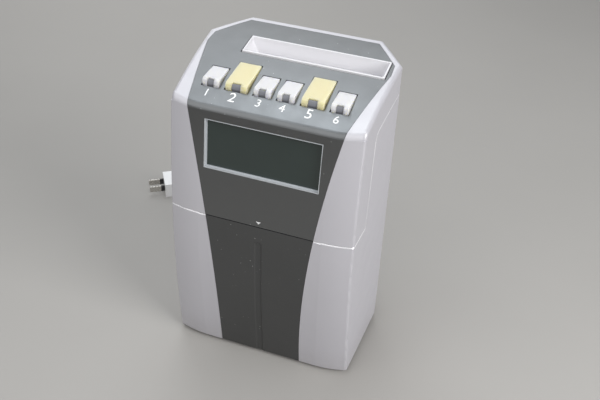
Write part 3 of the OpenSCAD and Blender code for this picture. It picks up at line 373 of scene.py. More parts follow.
@dataclass(frozen=True)
class PanelPaint(Finish):
    """Satin grey paint with pigment grain and a few dust specks."""

    specks: float = 0.6
    index: float = 1.5
    sheen: float = 1.0
    sheen_tint: Colour = (0.93, 0.97, 1.0)
    pigment: float = 2600.0
    speck_cells: float = 230.0

    def wire(self, g: Graph) -> None:
        """Wires clouds, pigment and specks.

        Args:
            g: graph of the material.
        """
        g.put(Specular_IOR_Level=self.sheen, IOR=self.index, Specular_Tint=(*self.sheen_tint, 1))
        base = g.tones(g.noise(22, 3), self.tint, 0.94, 1.06)
        grains = g.span(g.cells(self.pigment, "Color"), 0.75, 1.0, 0.0, 0.06)
        base = g.blend(grains, base, Dirt.PIGMENT.value)
        dot = g.span(g.cells(self.speck_cells), 0.05, 0.09, 1.0, 0.0)
        where = g.times(g.span(g.cells(self.speck_cells, "Color"), 0.62, 0.64, 0.0, self.specks),
                        g.span(g.noise(30, 2), 0.40, 0.55, 0.15, 1.0))
        g.colour(g.blend(g.times(dot, where), base, Dirt.SPECK.value))
        g.satin(g.noise(90, 4), self.gloss, 0.03, 0.05)
        g.relief(g.noise(self.pigment, 2), 0.00003, 0.5)


@dataclass(frozen=True)
class Metal(Finish):
    """Drawn or rolled metal with marks along one axis."""

    along: Point = (40.0, 900.0, 900.0)
    depth: float = 0.00002

    def wire(self, g: Graph) -> None:
        """Wires the marks.

        Args:
            g: graph of the material.
        """
        g.put(Metallic=1.0)
        marks = g.noise(1.6, 4, g.stretch(self.along))
        g.colour(g.tones(marks, self.tint, 0.86, 1.08))
        g.satin(marks, self.gloss, 0.07, 0.08)
        g.relief(marks, self.depth, 0.4)


@dataclass(frozen=True)
class Rubber(Finish):
    """Matt rubber with a dusty bloom."""

    bloom: float = 0.5

    def wire(self, g: Graph) -> None:
        """Wires the bloom and the grain.

        Args:
            g: graph of the material.
        """
        g.colour(g.tones(g.span(g.noise(120, 5), 0.45, 0.8, 0.0, self.bloom), self.tint, 1.0, 2.4))
        g.satin(g.noise(60, 3), self.gloss, 0.05, 0.08)
        g.relief(g.noise(1500, 3), 0.00008, 0.6)


@dataclass(frozen=True)
class CircuitBoard(Finish):
    """Solder mask with tracks and pads."""

    pad_cells: float = 420.0

    def wire(self, g: Graph) -> None:
        """Wires tracks, rows and pads.

        Args:
            g: graph of the material.
        """
        tracks = g.span(g.bands(150, "X", 6.0), 0.46, 0.54, 0.0, 1.0)
        rows = g.span(g.bands(170, "Z", 5.0), 0.72, 0.78, 0.0, 1.0)
        base = g.blend(rows, g.tones(tracks, self.tint, 1.0, 1.7), shade(self.tint, 0.7))
        pads = g.span(g.cells(self.pad_cells), 0.16, 0.20, 1.0, 0.0)
        keep = g.span(g.cells(self.pad_cells, "Color"), 0.80, 0.82, 0.0, 1.0)
        g.colour(g.blend(g.times(pads, keep), base, Dirt.SOLDER.value))
        g.satin(g.noise(200, 2), self.gloss, 0.0, 0.1)
        g.relief(tracks, 0.00004, 0.5)


@dataclass(frozen=True)
class Winding(Finish):
    """Enamelled wire laid in close turns."""

    def wire(self, g: Graph) -> None:
        """Wires the turns.

        Args:
            g: graph of the material.
        """
        g.put(Metallic=0.6)
        turns = g.bands(420, "Z", 0.4)
        g.colour(g.tones(turns, self.tint, 0.5, 1.15))
        g.satin(turns, self.gloss, -0.15, 0.0, low=0.0, high=1.0)
        g.relief(turns, 0.0002, 0.8)


@dataclass(frozen=True)
class Layers(Finish):
    """Stacked sheets of a transformer core, lacquered."""

    def wire(self, g: Graph) -> None:
        """Wires the sheets.

        Args:
            g: graph of the material.
        """
        g.put(Metallic=0.7)
        sheets = g.bands(320, "Y", 0.3)
        g.colour(g.tones(sheets, self.tint, 0.55, 1.2))
        g.satin(g.noise(90, 3), self.gloss, 0.05, 0.12)
        g.relief(sheets, 0.0001, 0.6)


@dataclass(frozen=True)
class Window(Finish):
    """Smoked plastic window with faint rubbing marks."""

    def wire(self, g: Graph) -> None:
        """Wires the clouds and the marks.

        Args:
            g: graph of the material.
        """
        g.put(Coat_Weight=0.4, Coat_Roughness=0.08)
        g.colour(g.tones(g.noise(26, 2), self.tint, 0.9, 1.1))
        marks = g.noise(3, 5, g.stretch((60, 60, 500)))
        g.satin(marks, self.gloss, 0.0, 0.12, low=0.45, high=0.8)


@dataclass(frozen=True)
class DisplayGlass(Finish):
    """Dark liquid crystal with a fine cell grid."""

    grid: float = 330.0

    def wire(self, g: Graph) -> None:
        """Wires the grid over faint clouds.

        Args:
            g: graph of the material.
        """
        across, upward = (g.span(g.bands(self.grid, axis), 0.02, 0.10, 0.0, 1.0) for axis in "XZ")
        lines = g.span(g.times(across, upward), 0.0, 1.0, 0.16, 0.0)
        cloud = g.tones(g.noise(24, 2), self.tint, 0.88, 1.12)
        g.colour(g.blend(lines, cloud, shade(self.tint, 0.4)))
        g.satin(g.noise(120, 2), self.gloss, 0.0, 0.06)


@dataclass(frozen=True)
class Cloth(Finish):
    """Inked ribbon cloth with a fine weave."""

    threads: float = 900.0

    def wire(self, g: Graph) -> None:
        """Wires the weave.

        Args:
            g: graph of the material.
        """
        weave = g.times(g.bands(self.threads, "X"), g.bands(self.threads, "Z"))
        g.colour(g.tones(weave, self.tint, 0.6, 1.6))
        g.satin(g.noise(150, 3), self.gloss, 0.05, 0.1)
        g.relief(weave, 0.00006, 0.7)


@dataclass(frozen=True)
class Sleeve(Finish):
    """Shrunk film or printed wrap round a can, with a sheen."""

    def wire(self, g: Graph) -> None:
        """Wires the drawn film.

        Args:
            g: graph of the material.
        """
        g.put(Coat_Weight=0.3)
        g.colour(g.tones(g.noise(90, 2, g.stretch((1, 1, 8))), self.tint, 0.85, 1.12))
        g.satin(g.noise(240, 3), self.gloss, 0.05, 0.1)
        g.relief(g.noise(500, 2), 0.00003, 0.4)


class Finishes:
    """All finishes of the clock; one that stands in the record bears its slot's name."""

    def __init__(self) -> None:
        """Makes every material once."""
        made = (
            Moulding("casing_white", (0.48, 0.47, 0.505), 0.42, dust=0.35, index=1.72, sheen=1.0),
            PanelPaint("panel_upper", (0.017, 0.016, 0.014), 0.35, specks=0.5, index=1.76),
            PanelPaint("panel_lower", (0.054, 0.054, 0.053), 0.42, specks=0.9, index=1.45, sheen=0.5),
            Moulding("base_black", (0.035, 0.035, 0.038), 0.55),
            Rubber("rubber_black", (0.02, 0.02, 0.02), 0.8),
            Metal("screw_zinc", (0.60, 0.61, 0.63), 0.32, (500, 500, 500)),
            PanelPaint("bezel_silver", (0.47, 0.49, 0.51), 0.36, specks=0.0),
            Window("lens_clear", (0.019, 0.030, 0.027), 0.12),
            DisplayGlass("lcd_green", (0.044, 0.054, 0.047), 0.28),
            KeyPlastic("key_white", (0.66, 0.65, 0.65), 0.40, grain=2400, depth=0.00003),
            KeyPlastic("key_yellow", (0.67, 0.605, 0.365), 0.40, grain=2400, depth=0.00003),
            Sleeve("lamp_smoke", (0.175, 0.178, 0.20), 0.34),
            CircuitBoard("board_green", (0.025, 0.12, 0.045), 0.35),
            Moulding("chip_black", (0.018, 0.018, 0.019), 0.5, grain=3000),
            Metal("sheet_steel", (0.52, 0.54, 0.55), 0.38, (300, 500, 30), 0.00003),
            Metal("shaft_steel", (0.66, 0.67, 0.68), 0.22, (1600, 60, 60)),
            Metal("bush_brass", (0.62, 0.44, 0.18), 0.34, (700, 300, 300)),
            Rubber("roller_rubber", (0.03, 0.03, 0.032), 0.72),
            Moulding("gear_nylon", (0.72, 0.70, 0.62), 0.42, grain=1500),
            Metal("motor_steel", (0.48, 0.49, 0.51), 0.34, (60, 900, 900)),
            # Also used as painted shade on the keys' roots, the key-hole walls, the case's rim and the
            # panel's edge under the joint.
            Moulding("black_plastic", (0.022, 0.022, 0.024), 0.46),
            Moulding("head_grey", (0.20, 0.21, 0.22), 0.42),
            Cloth("ribbon_cloth", (0.020, 0.016, 0.045), 0.8),
            Rubber("belt_rubber", (0.018, 0.018, 0.018), 0.7),
            Sleeve("cap_blue", (0.03, 0.06, 0.16), 0.3),
            Sleeve("cell_green", (0.05, 0.26, 0.12), 0.3),
            Layers("core_steel", (0.30, 0.30, 0.31), 0.42),
            Winding("coil_copper", (0.55, 0.22, 0.07), 0.3),
            Moulding("cord_grey", (0.62, 0.62, 0.64), 0.5, grain=1200, depth=0.00008),
            Moulding("plug_white", (0.80, 0.80, 0.80), 0.42, grain=1600),
            Metal("blade_brass", (0.62, 0.60, 0.56), 0.25, (300, 300, 900)),
            # Lighter copy of the casing's white for the card funnel, so that its shaded inside reads
            # bright: painted light.
            Moulding("funnel_white", (0.70, 0.69, 0.71), 0.42, grain=2200, depth=0.00003),
            Finish("ink_white", (0.85, 0.85, 0.85), 0.5),
            # Lighter, glossier copy of the casing's finish for the chamfer under the joint: painted
            # highlight.
            Moulding("edge_white", (0.82, 0.81, 0.84), 0.30, grain=2200, depth=0.00002, index=2.5,
                     sheen=1.0),
            # Darker, rougher copy of the lamp windows' finish for their top faces: painted shade.
            Sleeve("lamp_lid", (0.12, 0.122, 0.135), 0.5),
            Moulding("sleeve_black", (0.02, 0.02, 0.022), 0.5),
        )
        self.by_name = {finish.name: finish.make() for finish in made}

    def get(self, choice: Slot | Extra) -> Material:
        """Gives the material of a slot or an extra finish."""
        return self.by_name[choice.value]

    def dress(self) -> None:
        """Puts the finish of its slot on every node of the frame."""
        for row in frame["record"]["subparts"]:
            node = frame["nodes"][row["node"]]
            node.data.materials.clear()
            node.data.materials.append(self.by_name[row["material_slot"]])


def add_mesh(name: str, mesh: Mesh, finish: Material | None = None) -> Piece:
    """Adds a mesh to the scene at the origin.

    Args:
        name: name of the object.
        mesh: its mesh.
        finish: its only material, or none where the mesh has its own.

    Returns:
        The object.
    """
    if finish is not None:
        mesh.materials.clear()
        mesh.materials.append(finish)
    mesh.name = name
    obj = bpy.data.objects.new(name, mesh)
    bpy.context.scene.collection.objects.link(obj)
    return obj


def meshed(bm: Draft, name: str) -> Mesh:
    """Turns a mesh under work into a plain one.

    Args:
        bm: mesh under work, which ends here.
        name: name of the mesh.

    Returns:
        The mesh.
    """
    mesh = bpy.data.meshes.new(name)
    bm.to_mesh(mesh)
    bm.free()
    return mesh


def settle(obj: Piece) -> None:
    """Turns an object's modifiers into its plain mesh.

    Args:
        obj: object with modifiers.
    """
    bpy.context.view_layer.update()
    depsgraph = bpy.context.evaluated_depsgraph_get()
    mesh = bpy.data.meshes.new_from_object(
        obj.evaluated_get(depsgraph), preserve_all_data_layers=True, depsgraph=depsgraph)
    obj.modifiers.clear()
    old = obj.data
    obj.data = mesh
    bpy.data.meshes.remove(old)


def declare(piece: Piece, slot: Slot, body: str, *nodes: str) -> None:
    """Hides the nodes that a piece replaces and rides it on its body.

    Args:
        piece: the piece.
        slot: not used.
        body: body that it rides on.
        nodes: nodes that it replaces, if any.
    """
    if nodes:
        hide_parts(*nodes)
    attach(piece, body)


def repaint(piece: Piece, finish: Material,
            where: Callable[[bpy.types.MeshPolygon], bool]) -> None:
    """Gives some faces of a piece a second finish.

    Args:
        piece: the piece.
        finish: the second finish.
        where: test that picks the faces.
    """
    piece.data.materials.append(finish)
    for face in piece.data.polygons:
        if where(face):
            face.material_index = 1


def sharp_edges(bm: Draft, angle: float) -> list[bmesh.types.BMEdge]:
    """Lists the edges of a mesh under work that are sharper than an angle in degrees."""
    limit = math.radians(angle)
    return [e for e in bm.edges if len(e.link_faces) == 2 and e.calc_face_angle(0.0) > limit]


def merged(node: str, angle: float = 40.0) -> Draft:
    """Copies a node with its faces joined and the borders of its surfaces kept sharp.

    Args:
        node: node of the frame.
        angle: other edges sharper than this many degrees are sharp too.

    Returns:
        The copy under work.
    """
    bm = bmesh.new()
    bm.from_mesh(frame["nodes"][node].data)
    for edge in bm.edges:
        edge.smooth = not edge.is_boundary
    bmesh.ops.remove_doubles(bm, verts=bm.verts, dist=WELD)
    for edge in sharp_edges(bm, angle):
        edge.smooth = False
    for face in bm.faces:
        face.smooth = True
        face.material_index = 0
    return bm


def smooth(obj: Piece, angle: float = 40.0, weight: int = 100) -> None:
    """Shades an object smoothly with flat faces kept flat.

    Args:
        obj: the object, whose modifiers are settled too.
        angle: edges sharper than this many degrees stay sharp.
        weight: how much the large faces lead, from 1 to 100.
    """
    settle(obj)
    obj.data.shade_smooth()
    obj.data.set_sharp_from_angle(angle=math.radians(angle))
    weigh = obj.modifiers.new("weighing", "WEIGHTED_NORMAL")
    weigh.weight = weight
    weigh.keep_sharp = True
    settle(obj)


def add_box(bm: Draft, low: Vector, high: Vector) -> None:
    """Adds a closed box between two corners to a mesh under work."""
    place = Matrix.Translation((high + low) / 2) @ Matrix.Diagonal((*(high - low), 1))
    bmesh.ops.create_cube(bm, size=1.0, matrix=place)


def lathe(profile: list[tuple[float, float]], steps: int = 48, weld: float = 1e-7) -> Mesh:
    """Turns a closed profile round the Z axis into a ring.

    Args:
        profile: radius and height pairs, the last one the same as the first.
        steps: faces round.
        weld: corners closer than this are one.

    Returns:
        The mesh.
    """
    bm = bmesh.new()
    verts = [bm.verts.new((r, 0, z)) for r, z in profile]
    edges = [bm.edges.new(pair) for pair in zip(verts, verts[1:])]
    bmesh.ops.spin(bm, geom=verts + edges, cent=(0, 0, 0), axis=(0, 0, 1), angle=math.tau,
                   steps=steps, use_merge=True)
    bmesh.ops.remove_doubles(bm, verts=bm.verts, dist=weld)
    bmesh.ops.recalc_face_normals(bm, faces=bm.faces)
    return meshed(bm, "turned")


class Repeater:
    """Geometry Nodes tree that sets one shape on every point of a mesh."""

    def __init__(self) -> None:
        """Builds the tree with its named inputs."""
        self.tree = bpy.data.node_groups.new("set_on_points", "GeometryNodeTree")
        interface = self.tree.interface
        self.ids: dict[str, str] = {}
        for name, kind in (("Points", "Geometry"), ("Shape", "Object"), ("Size", "Float"),
                           ("Finish", "Material")):
            socket = interface.new_socket(name, in_out="INPUT", socket_type="NodeSocket" + kind)
            self.ids[name] = socket.identifier
        interface.new_socket("Geometry", in_out="OUTPUT", socket_type="NodeSocketGeometry")
        nodes = self.tree.nodes
        start = nodes.new("NodeGroupInput").outputs
        end = nodes.new("NodeGroupOutput")
        shape = nodes.new("GeometryNodeObjectInfo")
        shape.inputs["As Instance"].default_value = True
        size, turn = (self.attribute(name, kind)
                      for name, kind in (("size", "FLOAT"), ("turn", "FLOAT_VECTOR")))
        euler = nodes.new("FunctionNodeEulerToRotation")
        scale = nodes.new("ShaderNodeMath")
        scale.operation = "MULTIPLY"
        setter = nodes.new("GeometryNodeInstanceOnPoints")
        real = nodes.new("GeometryNodeRealizeInstances")
        paint = nodes.new("GeometryNodeSetMaterial")
        for source, target in (
                (start["Shape"], shape.inputs["Object"]),
                (start["Points"], setter.inputs["Points"]),
                (shape.outputs["Geometry"], setter.inputs["Instance"]),
                (turn, euler.inputs[0]),
                (euler.outputs[0], setter.inputs["Rotation"]),
                (size, scale.inputs[0]),
                (start["Size"], scale.inputs[1]),
                (scale.outputs[0], setter.inputs["Scale"]),
                (setter.outputs["Instances"], real.inputs[0]),
                (real.outputs[0], paint.inputs["Geometry"]),
                (start["Finish"], paint.inputs["Material"]),
                (paint.outputs["Geometry"], end.inputs[0])):
            self.tree.links.new(source, target)

    def attribute(self, name: str, kind: str) -> Socket:
        """Adds a node that reads an attribute of the points.

        Args:
            name: name of the attribute.
            kind: its type.

        Returns:
            Its value.
        """
        node = self.tree.nodes.new("GeometryNodeInputNamedAttribute")
        node.data_type = kind
        node.inputs["Name"].default_value = name
        return node.outputs["Attribute"]

    def set(self, name: str, shape: Mesh, points: list[Point], finish: Material,
            turn: Point, sizes: list[float] | None = None) -> Piece:
        """Sets a shape on points and gives the plain result.

        Args:
            name: name of the piece.
            shape: mesh to repeat.
            points: its places.
            finish: its material.
            turn: Euler angles at every point.
            sizes: scale at each point, 1 if left out.

        Returns:
            The piece.
        """
        mesh = bpy.data.meshes.new(name)
        mesh.from_pydata(points, [], [])
        scale = mesh.attributes.new("size", "FLOAT", "POINT")
        angles = mesh.attributes.new("turn", "FLOAT_VECTOR", "POINT")
        for i in range(len(points)):
            scale.data[i].value = sizes[i] if sizes else 1.0
            angles.data[i].vector = turn
        obj = add_mesh(name, mesh)
        model = add_mesh(name + "_shape", shape, finish)
        tool = obj.modifiers.new("repeat", "NODES")
        tool.node_group = self.tree
        tool[self.ids["Shape"]] = model
        tool[self.ids["Size"]] = 1.0
        tool[self.ids["Finish"]] = finish
        settle(obj)
        bpy.data.objects.remove(model)
        return obj


@dataclass
class Studio:
    """Camera, floor and light, in metres and degrees; focal length and width in pixels."""

    eye: Point = (0.1769, -0.5116, 0.5352)
    azimuth: float = 17.82
    elevation: float = 36.90
    roll: float = 2.69
    focal: float = 822.0
    pixels: float = 600.0
    sensor: float = 36.0
    near: float = 0.01
    floor_half: float = 4.0
    floor_dark: Colour = (0.365, 0.352, 0.335)
    floor_light: Colour = (0.395, 0.381, 0.363)
    surround: Colour = (0.96, 0.98, 1.0)
    surround_power: float = 0.22

    def camera(self) -> None:
        """Sets the camera at the view of the photograph."""
        a, e, r = (math.radians(v) for v in (self.azimuth, self.elevation, self.roll))
        back = Vector((math.sin(a) * math.cos(e), -math.cos(a) * math.cos(e), math.sin(e)))
        level = Vector((math.cos(a), math.sin(a), 0))
        rise = back.cross(level)
        right = math.cos(r) * level + math.sin(r) * rise
        up = -math.sin(r) * level + math.cos(r) * rise
        turn = Matrix((right, up, back)).transposed().to_4x4()
        data = bpy.data.cameras.new("camera")
        data.sensor_fit = "HORIZONTAL"
        data.sensor_width = self.sensor
        data.lens = self.sensor * self.focal / self.pixels
        data.clip_start = self.near
        camera = bpy.data.objects.new("camera", data)
        camera.matrix_world = Matrix.Translation(self.eye) @ turn
        bpy.context.scene.collection.objects.link(camera)
        bpy.context.scene.camera = camera

    def floor(self) -> None:
        """Lays a pale grey floor."""
        bm = bmesh.new()
        bmesh.ops.create_grid(bm, x_segments=8, y_segments=8, size=self.floor_half)
        g = Graph("floor_pale")
        g.colour(g.blend(g.noise(5, 3), self.floor_dark, self.floor_light))
        g.put(Roughness=0.9, Specular_IOR_Level=0.1)
        add_mesh("floor", meshed(bm, "floor"), g.material)

    def lamp(self, name: str, place: Point, aim: Point, size: tuple[float, float], power: float,
             tint: Colour = (1, 1, 1)) -> None:
        """Hangs one soft box.

        Args:
            name: name of the lamp.
            place: its middle.
            aim: point it faces.
            size: width and height.
            power: watts.
            tint: colour of the light.
        """
        data = bpy.data.lights.new(name, "AREA")
        data.shape = "RECTANGLE"
        data.size, data.size_y = size
        data.energy = power
        data.color = tint
        lamp = bpy.data.objects.new(name, data)
        facing = (Vector(aim) - Vector(place)).to_track_quat("-Z", "Y")
        lamp.matrix_world = Matrix.Translation(place) @ facing.to_matrix().to_4x4()
        bpy.context.scene.collection.objects.link(lamp)

    def lights(self) -> None:
        """Hangs the lamps and sets a soft even surround."""
        sky, cool = (0.95, 0.975, 1.0), (0.90, 0.955, 1.0)
        self.lamp("ceiling_back", (-0.32, 0.78, 1.12), (0, 0, 0.2), (0.9, 0.9), 4.7, sky)
        self.lamp("ceiling_top", (-0.25, 0.14, 1.25), (0, 0, 0.2), (0.8, 0.55), 4.3, cool)
        self.lamp("right", (1.05, -0.42, 0.72), (0, 0, 0.15), (0.7, 0.7), 13.6)
        self.lamp("front", (-0.22, -0.66, 0.80), (0, 0, 0.18), (1.1, 0.9), 4.8)
        self.lamp("rear", (-0.75, 1.0, 0.32), (0, 0, 0.12), (0.9, 0.5), 2.6)
        world = bpy.data.worlds.new("surround")
        world.use_nodes = True
        sockets = world.node_tree.nodes["Background"].inputs
        sockets["Color"].default_value = (*self.surround, 1)
        sockets["Strength"].default_value = self.surround_power
        bpy.context.scene.world = world

    def build(self) -> None:
        """Lays the floor, hangs the lamps and sets the plain view."""
        self.floor()
        self.lights()
        bpy.context.scene.view_settings.view_transform = "Standard"


@dataclass
class Assembly(ABC):
    finishes: Finishes

    @abstractmethod
    def build(self) -> list[Piece]:
        """Returns:
            The pieces.
        """

    def softened(self, node: str, name: str, slot: Slot, width: float, body: str = Body.CASE.value,
                 angle: float = 28.0, steps: int = 3, shape: Callable[[Draft], None] | None = None,
                 look: Extra | None = None, level: float = 0.4) -> Piece:
        """Replaces a node by a copy with rounded edges.

        Args:
            node: node of the frame.
            name: name of the piece.
            slot: slot of the record that it takes.
            width: rounding in millimetres.
            body: body that it rides on.
            angle: edges sharper than this many degrees are rounded.
            steps: faces across each rounding.
            shape: change made to the merged copy before the rounding.
            look: finish that it wears, its slot's if left out.
            level: triangles that meet within this many degrees are joined.

        Returns:
            The piece.
        """
        bm = bmesh.new()
        bm.from_mesh(frame["nodes"][node].data)
        bmesh.ops.remove_doubles(bm, verts=bm.verts, dist=WELD)
        bmesh.ops.join_triangles(bm, faces=bm.faces, angle_face_threshold=math.radians(level),
                                 angle_shape_threshold=math.pi)
        if shape is not None:
            shape(bm)
        layer = bm.edges.layers.float.new("bevel_weight_edge")
        for edge in sharp_edges(bm, angle):
            edge[layer] = 1.0
        piece = add_mesh(name, meshed(bm, name), self.finishes.get(look or slot))
        bevel = piece.modifiers.new("rounding", "BEVEL")
        bevel.width = width * MM
        bevel.segments = steps
        bevel.limit_method = "WEIGHT"
        bevel.use_clamp_overlap = True
        bevel.miter_outer = "MITER_ARC"
        smooth(piece)
        declare(piece, slot, body, node)
        return piece

    def layered(self, bm: Draft, name: str, *looks: Slot | Extra) -> Piece:
        """Turns a mesh under work into a piece of several finishes.

        Args:
            bm: mesh under work, whose faces say which finish they take.
            name: name of the piece.
            looks: its finishes in the order that the faces count.

        Returns:
            The piece.
        """
        mesh = meshed(bm, name)
        for look in looks:
            mesh.materials.append(self.finishes.get(look))
        return add_mesh(name, mesh)


@dataclass
class MainsCord(Assembly):
    """Free mains cord with its plug, blades, tie and strain relief."""

    repeater: Repeater
    exit: Point = (-38.0, 85.5, 14.0)
    diameter: float = 6.0
    lie: float = 4.2  # height of the coil's lower layer
    clear: float = 0.1  # gap under the tail
    lead: tuple[tuple[float, float], ...] = (
        (0, 0), (6, 0), (12, 0.03), (18, 0.14), (24, 0.34), (30, 0.6), (36, 0.82), (42, 0.95), (46, 1))
    turns: float = 7.343
    per_turn: int = 24
    climb_turns: float = 0.5  # turns in which the coil climbs to its upper layer
    inner: float = 24.0  # smallest radius of the coil
    step: float = 6.6  # pitch of the turns and of the two layers
    middle_y: float = 134.1
    tail: tuple[tuple[float, float], ...] = (
        (6, 0.97), (12, 0.8), (18, 0.5), (24, 0.2), (30, 0.03), (36, 0), (42, 0.1), (48, 0.42),
        (53, 0.68), (58, 0.74))
    fineness: int = 2  # stretches between two chosen points
    soft_edge: float = 0.3  # rounding of strain relief and tie
    plug_rounding: float = 1.2
    plug_half: float = 8.0
    plug_mid: float = 8.0
    grip_half: Point = (0.6, 0.3, 4.2)
    grip_edge: float = 0.25
    grip_first: float = 7.5
    grip_pitch: float = 2.2
    grip_count: int = 4
    blade_gap: float = 6.35
    blade_half: tuple[float, float] = (0.75, 3.15)
    blade_run: tuple[float, float] = (30.2, 43.0)
    blade_tip: float = 0.5
    sleeve_run: tuple[float, float] = (20.2, 31.0)
    sleeve_skin: float = 0.04
    back_y: float = 61.5
    relief: float = 30.0
    relief_collar: float = 2.0
    relief_root: float = 5.4
    relief_wall: float = 0.8
    # A rib's profile as radius and height, for a strain relief of radius 1.
    ring: tuple[tuple[float, float], ...] = (
        (0.70, -0.12), (0.99, -0.12), (1.05, -0.08), (1.05, 0.08), (0.99, 0.12), (0.70, 0.12))
    ring_first: float = 5.0
    ring_pitch: float = 2.7
    ring_count: int = 9

    def coil_point(self, t: float) -> Vector:
        """Gives a point of the coil.

        Args:
            t: turns from its start.

        Returns:
            The point in millimetres.
        """
        half = self.turns / 2
        middle_x = self.exit[0] - self.inner - self.step * half
        r = self.inner + self.step * abs(t - half)
        climb = min(1.0, max(0.0, (t - half) / self.climb_turns + 0.5))
        a = math.tau * t
        return Vector((middle_x + r * math.cos(a), self.middle_y + r * math.sin(a),
                       self.lie + self.step * climb))

    @property
    def heading(self) -> Vector:
        """Direction of the tail and the plug."""
        a = math.tau * self.turns + math.pi / 2
        return Vector((math.cos(a), math.sin(a), 0))

    def route(self) -> list[Vector]:
        """Gives the whole route in metres, smoothed between its chosen points.

        Returns:
            Points from the strain relief to the plug.
        """
        x, y, z = self.exit
        points = [Vector((x, y + run, z - (z - self.lie) * drop)) for run, drop in self.lead]
        count = round(self.per_turn * self.turns)
        points += [self.coil_point(self.turns * i / count) for i in range(count + 1)]
        start = points[-1].copy()
        low = self.diameter / 2 + self.clear
        for run, rise in self.tail:
            p = start + run * self.heading
            p.z = low + (start.z - low) * rise
            points.append(p)
        fine: list[Vector] = []
        for i in range(len(points) - 1):
            a, b = points[max(0, i - 1)], points[i]
            c, d = points[i + 1], points[min(len(points) - 1, i + 2)]
            for k in range(self.fineness):
                t = k / self.fineness
                fine.append(0.5 * (2 * b + (c - a) * t + (2 * a - 5 * b + 4 * c - d) * t * t
                                   + (3 * b - a - 3 * c + d) * t ** 3))
        fine.append(points[-1])
        return [p * MM for p in fine]

    def make_cord(self) -> Piece:
        """Makes the cord as one open curve.

        Returns:
            The curve.
        """
        data = bpy.data.curves.new("mains_cord", "CURVE")
        data.dimensions = "3D"
        data.bevel_depth = self.diameter / 2 * MM
        data.bevel_resolution = 4
        data.use_fill_caps = True
        spline = data.splines.new("POLY")
        route = self.route()
        spline.points.add(len(route) - 1)
        for point, place in zip(spline.points, route):
            point.co = (*place, 1)
        spline.use_smooth = True
        data.materials.append(self.finishes.get(Slot.CORD))
        cord = bpy.data.objects.new("mains_cord", data)
        bpy.context.scene.collection.objects.link(cord)
        declare(cord, Slot.CORD, Body.CASE.value, "cord_lead", "cord_coil", "cord_tail")
        return cord

    def at_plug(self) -> Matrix:
        """Gives the place of the plug on the table, its axis along X.

        Returns:
            The place.
        """
        end = self.route()[-1]
        angle = math.atan2(self.heading.y, self.heading.x)
        return Matrix.Translation((end.x, end.y, 0)) @ Matrix.Rotation(angle, 4, "Z")

    def make_plug(self) -> list[Piece]:
        """Makes the plug with its grip ribs and blades.

        Returns:
            The pieces on the cord's end.
        """
        body = self.softened("mains_plug", "plug_body", Slot.PLUG, self.plug_rounding, angle=30, steps=4)
        bm = bmesh.new()
        half = Vector(self.grip_half) * MM
        add_box(bm, -half, half)
        bmesh.ops.bevel(bm, geom=bm.edges[:], offset=self.grip_edge * MM, segments=2, affect="EDGES")
        place = self.at_plug()
        spots = [tuple(place @ (Vector((self.grip_first + self.grip_pitch * i, y, self.plug_mid)) * MM))
                 for i in range(self.grip_count) for y in (-self.plug_half, self.plug_half)]
        ribs = self.repeater.set("plug_ribs", meshed(bm, "rib"), spots, self.finishes.get(Slot.PLUG),
                                 tuple(place.to_euler()))
        declare(ribs, Slot.PLUG, Body.CASE.value)
        return [body, ribs, self.make_blades(place)]

    def make_blades(self, place: Matrix) -> Piece:
        """Makes two flat blades with dark sleeves at their roots.

        Args:
            place: place of the plug.

        Returns:
            The blades as one piece.
        """
        bm = bmesh.new()
        for y in (-self.blade_gap, self.blade_gap):
            layers = (self.blade_run, 0.0), (self.sleeve_run, self.sleeve_skin)
            for index, (run, skin) in enumerate(layers):
                thick, tall = (size + skin for size in self.blade_half)
                first = len(bm.faces)
                add_box(bm, Vector((run[0], y - thick, self.plug_mid - tall)) * MM,
                        Vector((run[1], y + thick, self.plug_mid + tall)) * MM)
                bm.faces.ensure_lookup_table()
                for face in bm.faces[first:]:
                    face.material_index = index
        beyond = (self.sleeve_run[1] + self.blade_run[1]) / 2 * MM
        tips = [e for e in bm.edges if all(v.co.x > beyond for v in e.verts)]
        bmesh.ops.bevel(bm, geom=tips, offset=self.blade_tip * MM, segments=2, affect="EDGES")
        bm.transform(place)
        blades = self.layered(bm, "blade_pair", Slot.BLADE, Extra.SLEEVE)
        smooth(blades, angle=30)
        declare(blades, Slot.BLADE, Body.CASE.value, "plug_blades")
        return blades

    def make_relief(self) -> list[Piece]:
        """Makes the tapered strain relief with its ribs.

        Returns:
            The pieces round the cord's exit.
        """
        core = self.softened("strain_relief", "relief_core", Slot.CORD, self.soft_edge, angle=35, steps=2)
        thin = self.diameter / 2 + self.relief_wall
        taper = (thin - self.relief_root) / (self.relief - self.relief_collar)
        points, sizes = [], []
        for i in range(self.ring_count):
            run = self.ring_first + self.ring_pitch * i
            points.append((self.exit[0] * MM, (self.back_y + run) * MM, self.exit[2] * MM))
            sizes.append((self.relief_root + taper * (run - self.relief_collar)) * MM)
        ring = lathe([*self.ring, self.ring[0]])
        ribs = self.repeater.set("relief_ribs", ring, points, self.finishes.get(Slot.CORD),
                                 (-math.pi / 2, 0, 0), sizes)
        smooth(ribs, angle=35)
        declare(ribs, Slot.CORD, Body.CASE.value)
        return [core, ribs]

    def build(self) -> list[Piece]:
        """Builds the cord with all that is on it.

        Returns:
            The pieces.
        """
        cord = self.make_cord()
        plug = self.make_plug()
        relief = self.make_relief()
        tie = self.softened("cord_tie", "tie_strap", Slot.TIE, self.soft_edge, angle=35, steps=2)
        route = self.route()
        return [cord, *plug, *relief, tie]


